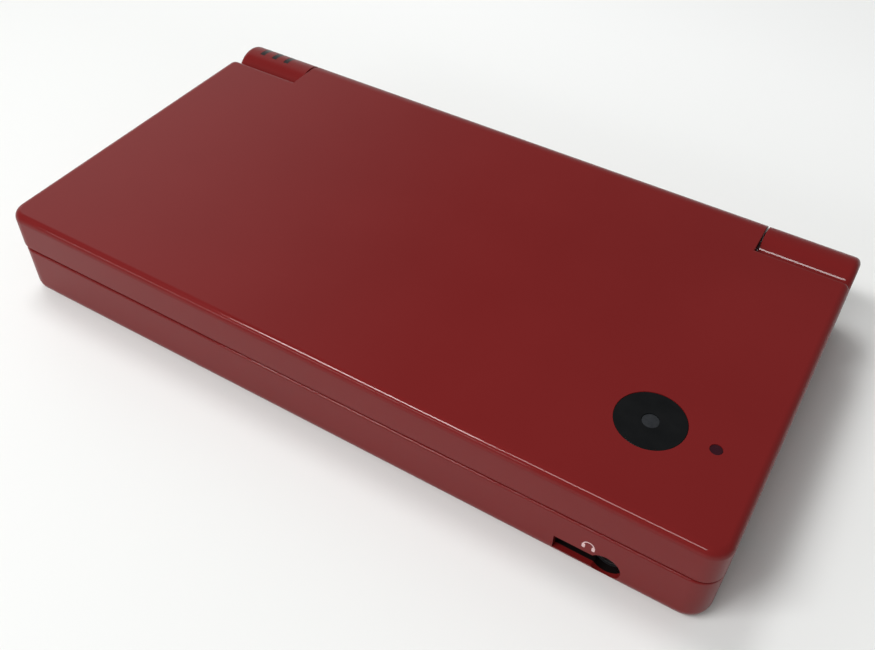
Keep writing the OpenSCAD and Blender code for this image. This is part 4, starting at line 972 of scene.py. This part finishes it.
@dataclass
class Controls(SubAssembly):
    """The direction pad and the buttons of the control face."""

    pad: Spot = (-51.0, 3.0)
    pad_span: float = 20.0
    pad_arm: float = 6.6
    pad_flange: Pair = (7.88, 8.38)
    pad_flange_r: float = 9.0
    top: float = 10.8
    dish_r: float = 8.0
    dish: float = 0.2
    ball_z: float = 7.5
    ball_r: float = 0.9
    cap_under: float = 8.05
    cap_flange: float = 8.85
    cap_lip: float = 0.7
    cap_edge: float = 0.45
    face_r: float = 3.7
    face_pitch: float = 7.5
    small_r: float = 2.0
    small: Spot = (43.5, -18.0)

    def direction_pad(self) -> None:
        """Builds the direction pad: a cross with a dished middle on a round flange."""
        x, y = self.pad
        half, arm = self.pad_span / 2, self.pad_arm / 2
        height = (self.pad_flange[1] - 0.05, self.top)
        cross = Bench.block("direction_pad", (x - half, x + half), (y - arm, y + arm), height)
        Bench.combine(cross, Join.ADD, Bench.block("arm", (x - arm, x + arm), (y - half, y + half), height))
        Bench.clean(cross)
        upright = along(Axis.Z)
        Bench.soften(cross, lambda e: upright(e) and sharp(e), 0.6, 5)
        Bench.soften(cross, lambda e: level(Axis.Z, self.top)(e) and sharp(e), 0.4, 4)
        Bench.combine(cross, Join.ADD,
                      Bench.rod("flange", Axis.Z, self.pad_flange_r, self.pad_flange, self.pad, 64))
        Bench.combine(cross, Join.CUT,
                      Bench.ball("dish", self.dish_r, (x, y, self.top - self.dish + self.dish_r), 48),
                      Bench.ball("seat", self.ball_r, (x, y, self.ball_z), 16))
        self.finish_piece(cross, CONTROL_PLASTIC, "dpad", "control_plastic", "dpad")

    def cap(self, name: str, radius: float, at: Spot) -> bpy.types.Object:
        """Makes a round button with a rounded rim and a flange below the deck.

        Args:
            name: Its name.
            radius: Its radius.
            at: Its place.

        Returns:
            The button.
        """
        cap = Bench.rod(name, Axis.Z, radius, (self.cap_under, self.top), at, 64)
        Bench.soften(cap, level(Axis.Z, self.top), self.cap_edge, 5)
        Bench.combine(cap, Join.ADD, Bench.rod("flange", Axis.Z, radius + self.cap_lip,
                                               (self.cap_under, self.cap_flange), at, 48))
        return cap

    def build(self) -> None:
        """Builds the direction pad and the seven buttons."""
        self.direction_pad()
        x, y, step = -self.pad[0], self.pad[1], self.face_pitch
        right = self.cap("right_button", self.face_r, (x + step, y))
        face = [("front", Bench.twin(right, "front_button", (-step, -step, 0))),
                ("back", Bench.twin(right, "back_button", (-step, step, 0))),
                ("left", Bench.twin(right, "left_button", (-2 * step, 0, 0))), ("right", right)]
        for place, piece in face:
            node = f"face_button_{place}"
            self.finish_piece(piece, CONTROL_PLASTIC, node, "control_plastic", node)
        start = self.cap("start_key", self.small_r, self.small)
        keys = [("select_button", Bench.twin(start, "select_key", (0, -step, 0))),
                ("power_button", Bench.twin(start, "power_key", (-2 * self.small[0], -step, 0))),
                ("start_button", start)]
        for node, piece in keys:
            self.finish_piece(piece, CONTROL_PLASTIC, node, "control_plastic", node)


@dataclass
class SideKeys(SubAssembly):
    """The volume rocker, the shoulder buttons and the memory card door."""

    rocker: tuple[Pair, Pair, Pair] = ((-68.35, -66.65), (-5.45, 10.55), (3.5, 6.7))
    rocker_middle: float = 2.55
    half_w: float = 68.5
    half_d: float = 37.45
    corner: float = 4.0
    shoulder: Pair = (3.1, 8.1)
    shoulder_t: float = 1.5
    shoulder_x: float = 52.5
    shoulder_y: float = 33.95
    pivot: Spot = (54.7, 34.45)
    boss_r: float = 1.6
    pin_r: float = 0.76
    door_axis: Spot = (67.7, 2.8)
    door_t: float = 1.2
    door_run: Pair = (2.65, 26.45)
    door_top: float = 6.2
    door_pin: Pair = (0.4, 0.9)

    def volume_rocker(self) -> None:
        """Builds the volume rocker with a groove across its middle."""
        x, y, z = self.rocker
        rocker = Bench.block("volume_key", x, y, z)
        Bench.soften(rocker, lambda e: along(Axis.X)(e), 0.5, 5)
        Bench.soften(rocker, lambda e: level(Axis.X, x[0])(e) and sharp(e), 0.3, 4)
        middle_y = self.rocker_middle
        for shift in (-6.2, 0.0, 6.2):
            groove = Bench.block("groove", (x[0] - 1, x[0] + 0.15),
                                 (middle_y + shift - 0.2, middle_y + shift + 0.2), (z[0] + 0.7, z[1] - 0.7))
            Bench.combine(rocker, Join.CUT, groove)
        self.finish_piece(rocker, RED_GLOSS, "volume_rocker", "red_gloss", "volume_rocker")

    def shoulder_right(self) -> bpy.types.Object:
        """Makes the right shoulder button, which wraps round the rear corner.

        Returns:
            The button.
        """
        low, high = self.shoulder
        t = self.shoulder_t
        shell = Bench.block("right_shoulder", (-self.half_w, self.half_w), (-self.half_d, self.half_d),
                            self.shoulder)
        Bench.soften(shell, along(Axis.Z), self.corner, 12)
        Bench.soften(shell, lambda e: (level(Axis.Z, low)(e) or level(Axis.Z, high)(e)) and sharp(e), 0.3, 3)
        hollow = Bench.block("hollow", (t - self.half_w, self.half_w - t), (t - self.half_d, self.half_d - t),
                             (low - 1, high + 1))
        Bench.soften(hollow, along(Axis.Z), self.corner - t, 8)
        Bench.combine(shell, Join.CUT, hollow)
        Bench.combine(shell, Join.KEEP, Bench.block("corner", (self.shoulder_x, self.half_w + 1),
                                                    (self.shoulder_y, self.half_d + 1), (low - 1, high + 1)))
        x, y = self.pivot
        boss = Bench.rod("boss", Axis.Z, self.boss_r, self.shoulder, self.pivot, 40)
        rib = Bench.block("rib", (x - 0.8, x + 0.8), (y, self.half_d - 0.75), self.shoulder)
        Bench.combine(shell, Join.ADD, boss, rib)
        Bench.combine(shell, Join.CUT, Bench.rod("pin", Axis.Z, self.pin_r, (low - 1, high + 1), self.pivot, 32))
        return shell

    def card_door(self) -> None:
        """Builds the memory card door with its hinge bead, its pins and a finger groove."""
        x, z = self.door_axis
        half = self.door_t / 2
        door = Bench.block("card_door", (x - half, x + half), self.door_run, (z, self.door_top))
        outer = level(Axis.X, x + half)
        Bench.soften(door, lambda e: outer(e) and not level(Axis.Z, z)(e), 0.2, 3)
        Bench.combine(door, Join.ADD, Bench.rod("bead", Axis.Y, half, self.door_run, self.door_axis, 40))
        radius, reach = self.door_pin
        run = (self.door_run[0] - reach, self.door_run[1] + reach)
        Bench.combine(door, Join.ADD, Bench.rod("pins", Axis.Y, radius, run, self.door_axis, 24))
        middle_y = sum(self.door_run) / 2
        groove = Bench.rod("groove", Axis.Y, 0.35, (middle_y - 4, middle_y + 4), (x + half + 0.1, 5.5), 24)
        Bench.combine(door, Join.CUT, groove)
        self.finish_piece(door, RED_GLOSS, "memory_card_door", "red_gloss", "memory_card_door")

    def build(self) -> None:
        """Builds the keys and the door."""
        self.volume_rocker()
        right = self.shoulder_right()
        left = Bench.twin(right, "left_shoulder", flip=True)
        self.finish_piece(right, RED_GLOSS, "shoulder_button_right", "red_gloss", "shoulder_button_right")
        self.finish_piece(left, RED_GLOSS, "shoulder_button_left", "red_gloss", "shoulder_button_left")
        self.card_door()


@dataclass
class Underside(SubAssembly):
    """The battery cover and the case's screws."""

    cover_x: Pair = (-58.4, -5.6)
    cover_y: Pair = (-15.5, 25.7)
    cover_top: float = 0.58
    plug: tuple[Pair, Pair, Pair] = ((-54.1, -9.9), (-13.4, 23.6), (0.5, 1.2))
    cover_screws: tuple[Spot, ...] = ((-56.4, 5.1), (-7.6, 5.1))
    screws: tuple[Spot, ...] = ((-62.0, -30.95), (62.0, -30.95), (-62.0, 24.45), (45.0, 29.85))
    head_r: float = 1.6
    head: Pair = (0.05, 0.6)
    cross: tuple[float, float, float] = (1.92, 0.3, 0.27)
    shank_top: float = 6.1

    def battery_cover(self) -> None:
        """Builds the battery cover: a thin plate with a rounded outline and a plug above it."""
        cover = Bench.block("bay_cover", self.cover_x, self.cover_y, (0, self.cover_top))
        Bench.soften(cover, along(Axis.Z), 1.0, 6)
        Bench.soften(cover, lambda e: level(Axis.Z, 0)(e) and sharp(e), 0.15, 3)
        Bench.combine(cover, Join.ADD, Bench.block("plug", *self.plug))
        for spot in self.cover_screws:
            Bench.combine(cover, Join.CUT, Bench.rod("bore", Axis.Z, 0.9, (-1, 2), spot, 32))
        self.finish_piece(cover, RED_GLOSS, "base", "red_gloss", "battery_cover")

    def build(self) -> None:
        """Builds the cover and the screws."""
        self.battery_cover()
        low, high = self.head
        first = Bench.rod("case_screw_set", Axis.Z, self.head_r, self.head, self.screws[0], 40)
        Bench.soften(first, lambda e: level(Axis.Z, low)(e) and sharp(e), 0.12, 3)
        Bench.combine(first, Join.ADD, Bench.rod("shank", Axis.Z, 0.75, (high - 0.2, self.shank_top),
                                                 self.screws[0], 24))
        run, wide, deep = self.cross
        x, y = self.screws[0]
        for a, b in ((run / 2, wide / 2), (wide / 2, run / 2)):
            Bench.combine(first, Join.CUT, Bench.block("slot", (x - a, x + a), (y - b, y + b),
                                                       (low - 1, low + deep)))
        copies = [Bench.twin(first, f"screw_{i}", (spot[0] - x, spot[1] - y, 0))
                  for i, spot in enumerate(self.screws[1:])]
        screws = Bench.merge("case_screw_set", first, *copies)
        self.finish_piece(screws, SCREW_STEEL, "base", "screw_steel", "case_screws")

@dataclass
class TouchPen(SubAssembly):
    """The stylus: a round barrel with a tapered tip and a groove for a fingernail."""

    at: Spot = (-19.0, 3.47)
    radius: float = 2.15
    head: float = 68.4
    length: float = 92.0
    cone: float = 9.0
    edge: float = 0.4

    def build(self) -> None:
        """Builds the stylus."""
        start = self.head - self.length + self.cone
        pen = Bench.rod("touch_pen", Axis.X, self.radius, (start, self.head), self.at, 48)
        for narrower, longer in ((self.edge, 1.0), (0.85, 6.2), (0.36, 1.5), (0.44, 0.3)):
            Bench.pick(pen, lambda f: f.normal.x < -0.99 and len(f.verts) > 8, Pick.FACE)
            bpy.ops.mesh.inset(thickness=narrower * MM)
            bpy.ops.transform.translate(value=(-longer * MM, 0, 0))
            Bench.clear()
        Bench.soften(pen, lambda e: level(Axis.X, self.head)(e) and sharp(e), self.edge, 4)
        y, z = self.at
        groove = Bench.rod("groove", Axis.Y, 0.5, (y - 3, y + 3), (self.head - 1.2, z + self.radius + 0.1), 32)
        Bench.combine(pen, Join.CUT, groove)
        self.finish_piece(pen, STYLUS_PLASTIC, "stylus", "stylus_plastic", "stylus")


@dataclass
class IndicatorStrips(SubAssembly):
    """The three smoked windows over the left knuckle."""

    axis: Spot = (32.35, 13.8)
    strips: tuple[float, ...] = (-64.1, -60.9, -57.7)
    half: float = 0.58
    radii: Pair = (3.22, 5.08)
    front: float = 31.55
    rear: float = 37.45

    def build(self) -> None:
        """Builds the first window and copies it twice."""
        x = self.strips[0]
        span = (x - self.half, x + self.half)
        strip = Bench.rod("indicator_strips", Axis.X, self.radii[1], span, self.axis, 96)
        Bench.combine(strip, Join.CUT, Bench.rod("core", Axis.X, self.radii[0], (x - 2, x + 2), self.axis, 64))
        Bench.combine(strip, Join.KEEP, Bench.block("limit", (x - 1, x + 1), (self.front, self.rear),
                                                    (self.axis[1], self.axis[1] + 6)))
        Bench.clean(strip)
        copies = [Bench.twin(strip, f"strip_{i}", (other - x, 0, 0))
                  for i, other in enumerate(self.strips[1:])]
        strips = Bench.merge("indicator_strips", strip, *copies)
        self.finish_piece(strips, SMOKED_LENS, "base", "smoked_lens", "indicator_lenses")


@dataclass
class CameraCluster(SubAssembly):
    """The camera window in the lid, its lens and the light beside it."""

    window: Spot = (50.25, -20.25)
    radius: float = 5.6
    under: float = 18.05
    top: float = 18.85
    lens_r: float = 1.35
    lens_top: float = 18.82
    light: Spot = (60.5, -20.25)
    light_r: float = 0.95

    def build(self) -> None:
        """Builds the window, the lens and the light."""
        disc = Bench.rod("camera_disc", Axis.Z, self.radius, (self.under, self.top), self.window, 96)
        Bench.soften(disc, level(Axis.Z, self.top), 0.08, 3)
        bore = Bench.rod("bore", Axis.Z, self.lens_r + 0.05, (17.0, 20.0), self.window, 48)
        Bench.combine(disc, Join.CUT, bore)
        Bench.clean(disc)
        rim = (self.lens_r + 0.2) ** 2
        x, y = self.window
        flat = level(Axis.Z, self.top)
        Bench.soften(disc, lambda e: flat(e) and (middle(e).x - x) ** 2 + (middle(e).y - y) ** 2 < rim, 0.05, 2)
        self.finish_piece(disc, CAMERA_BLACK, "lid", "camera_black", "camera_window")
        lens = Bench.rod("camera_eye", Axis.Z, self.lens_r, (self.under, self.lens_top - 0.12), self.window, 48)
        self.crown(lens, self.lens_top - 0.12, 0.12)
        self.finish_piece(lens, LENS_GLASS, "lid", "lens_glass", "camera_lens")
        spark = Bench.rod("camera_spark", Axis.Z, self.light_r, (17.6, self.top - 0.06), self.light, 40)
        self.crown(spark, self.top - 0.06, 0.06)
        self.finish_piece(spark, LIGHT_PLUM, "lid", "smoked_lens", "camera_light")

    def crown(self, piece: bpy.types.Object, top: float, rise: float) -> None:
        """Gives a round piece a softly crowned top.

        Args:
            piece: The piece.
            top: The height of its flat top.
            rise: How far the crown rises over it.
        """
        for step in (0.35, 0.3, 0.2):
            Bench.pick(piece, lambda f: f.normal.z > 0.9 and len(f.verts) > 8, Pick.FACE)
            bpy.ops.mesh.inset(thickness=self.light_r * step * MM)
            bpy.ops.transform.translate(value=(0, 0, rise * step * 1.17 * MM))
            Bench.clear()


@dataclass
class FrameDress(SubAssembly):
    """The nodes of the frame that keep their shape and get their finish."""

    def build(self) -> None:
        """Dresses every node of the frame."""
        for name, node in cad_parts.items():
            finish = NODE_FINISH[name].material()
            if not node.material_slots:
                node.data.materials.append(finish)
            for slot in node.material_slots:
                slot.material = finish
        LOG.info("dressed %d nodes", len(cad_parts))


@dataclass
class Studio:
    """The floor, the lamps, the world and the camera."""

    lens: float = 39.18
    place: tuple[float, float, float] = (0.067125, -0.114545, 0.129736)
    right: tuple[float, float, float] = (0.85622171, 0.51617046, 0.02127076)
    up: tuple[float, float, float] = (-0.38136415, 0.60375823, 0.7000267)
    back: tuple[float, float, float] = (0.34849071, -0.60748997, 0.71379981)
    floor_colour: Colour = (0.85, 0.86, 0.85)
    # painted light: the paler floor colour used towards the rear
    painted_rear_light: Colour = (0.93, 0.94, 0.935)

    def floor(self) -> None:
        """Lays the pale floor, its colour blended towards a paler rear colour: painted light standing in for
        brighter light at the rear.
        """
        Bench.clear()
        bpy.ops.mesh.primitive_plane_add(size=12, location=(0, 0, -0.00002))
        ground = bpy.context.object
        ground.name = "floor"
        pale = Finish("floor_pale", self.floor_colour, tuple(c * 0.99 for c in self.floor_colour),
                      roughness=(0.8, 0.9), patch=200)
        made = pale.material()
        tree = made.node_tree
        shader = tree.nodes["Principled BSDF"]
        shader.inputs["Specular IOR Level"].default_value = 0.1
        place = tree.nodes.new("ShaderNodeTexCoord")
        part = tree.nodes.new("ShaderNodeSeparateXYZ")
        tree.links.new(place.outputs["Object"], part.inputs[0])
        # painted light: the floor's colour is blended towards the paler rear colour as Y rises
        painted_light_mix = tree.nodes.new("ShaderNodeMix")
        painted_light_mix.data_type = "RGBA"
        tree.links.new(shader.inputs["Base Color"].links[0].from_socket, painted_light_mix.inputs["A"])
        painted_light_mix.inputs["B"].default_value = (*self.painted_rear_light, 1)
        tree.links.new(self.ramp(tree, part.outputs["Y"], (0.04, 0.13), (0.0, 1.0)), painted_light_mix.inputs["Factor"])
        tree.links.new(painted_light_mix.outputs["Result"], shader.inputs["Base Color"])
        ground.data.materials.append(made)

    def lamp(self, name: str, place: Colour, aim: Colour, size: Spot, power: float,
             mirrored: bool = True) -> None:
        """Adds one soft lamp.

        Args:
            name: Its name.
            place: Its place in metres.
            aim: The point that it shines at.
            size: Its width and length in metres.
            power: Its power in watts.
            mirrored: False for a lamp that glossy faces don't mirror.
        """
        bpy.ops.object.light_add(type="AREA", location=place)
        lamp = bpy.context.object
        lamp.name = name
        lamp.data.shape = "RECTANGLE"
        lamp.data.size, lamp.data.size_y = size
        lamp.data.energy = power
        lamp.visible_glossy = mirrored
        way = Vector(aim) - Vector(place)
        lamp.rotation_euler = way.to_track_quat("-Z", "Y").to_euler()

    def sky(self) -> None:
        """Makes the soft surroundings: pale at the horizon, darker overhead and to the right."""
        world = bpy.context.scene.world or bpy.data.worlds.new("surroundings")
        bpy.context.scene.world = world
        world.use_nodes = True
        tree = world.node_tree
        glow = tree.nodes["Background"]
        place = tree.nodes.new("ShaderNodeTexCoord")
        part = tree.nodes.new("ShaderNodeSeparateXYZ")
        tree.links.new(place.outputs["Generated"], part.inputs[0])
        rise = self.ramp(tree, part.outputs["Z"], (0.12, 0.45), (0.42, 0.26))
        left = self.ramp(tree, part.outputs["X"], (-0.3, -0.8), (0.0, 1.0))
        rear = self.ramp(tree, part.outputs["Y"], (0.0, 0.4), (0.0, 1.0))
        glare = tree.nodes.new("ShaderNodeMath")
        glare.operation = "MULTIPLY_ADD"
        tree.links.new(left, glare.inputs[0])
        tree.links.new(rear, glare.inputs[1])
        tree.links.new(rise, glare.inputs[2])
        tree.links.new(glare.outputs["Value"], glow.inputs["Strength"])
        glow.inputs["Color"].default_value = (1.0, 0.995, 0.985, 1)

    def ramp(self, tree: bpy.types.NodeTree, value: bpy.types.NodeSocket, span: Pair,
             result: Pair) -> bpy.types.NodeSocket:
        """Adds a soft ramp from one value to another.

        Args:
            tree: The world's nodes.
            value: What the ramp follows.
            span: Where it begins and ends.
            result: Its value at both ends.

        Returns:
            The ramp's output.
        """
        step = tree.nodes.new("ShaderNodeMapRange")
        step.interpolation_type = "SMOOTHSTEP"
        step.inputs["From Min"].default_value, step.inputs["From Max"].default_value = span
        step.inputs["To Min"].default_value, step.inputs["To Max"].default_value = result
        tree.links.new(value, step.inputs["Value"])
        return step.outputs["Result"]

    def camera(self) -> None:
        """Sets the camera at the photograph's angle."""
        bpy.ops.object.camera_add()
        eye = bpy.context.object
        eye.name = "eye"
        eye.data.sensor_fit = "HORIZONTAL"
        eye.data.sensor_width = 36
        eye.data.lens = self.lens
        eye.data.clip_start = 0.005
        eye.data.clip_end = 50
        turn = Matrix((self.right, self.up, self.back)).transposed().to_4x4()
        eye.matrix_world = Matrix.Translation(self.place) @ turn
        bpy.context.scene.camera = eye

    def build(self) -> None:
        """Builds the studio."""
        bpy.context.scene.view_settings.view_transform = "Standard"
        self.floor()
        self.sky()
        self.lamp("window", (-0.38, -0.56, 0.80), (-0.02, -0.02, 0), (0.38, 0.15), 5.2)
        self.lamp("gap", (-0.055, -0.56, 0.80), (0.05, -0.02, 0), (0.26, 0.10), 1.4)
        self.lamp("left", (-0.12, 0.05, 0.45), (0, 0, 0), (0.14, 0.12), 0.62, mirrored=False)
        self.lamp("front", (-0.50, -0.90, 0.42), (0, 0, 0), (0.7, 0.05), 1.0)
        self.camera()
        LOG.info("studio ready")


def main() -> None:
    """Builds the console and the studio in order."""
    logging.basicConfig(level=logging.INFO, format="%(message)s")
    for part in (FrameDress(), LidShell(), CaseShell(), HeadphoneSign(), HeadphoneRecess(), CameraCluster(),
                 IndicatorStrips(), Controls(), SideKeys(), Underside(), TouchPen()):
        part.build()
        LOG.info("%s: %d pieces", type(part).__name__, len(part.made))
    Studio().build()


if __name__ == "__main__":
    main()
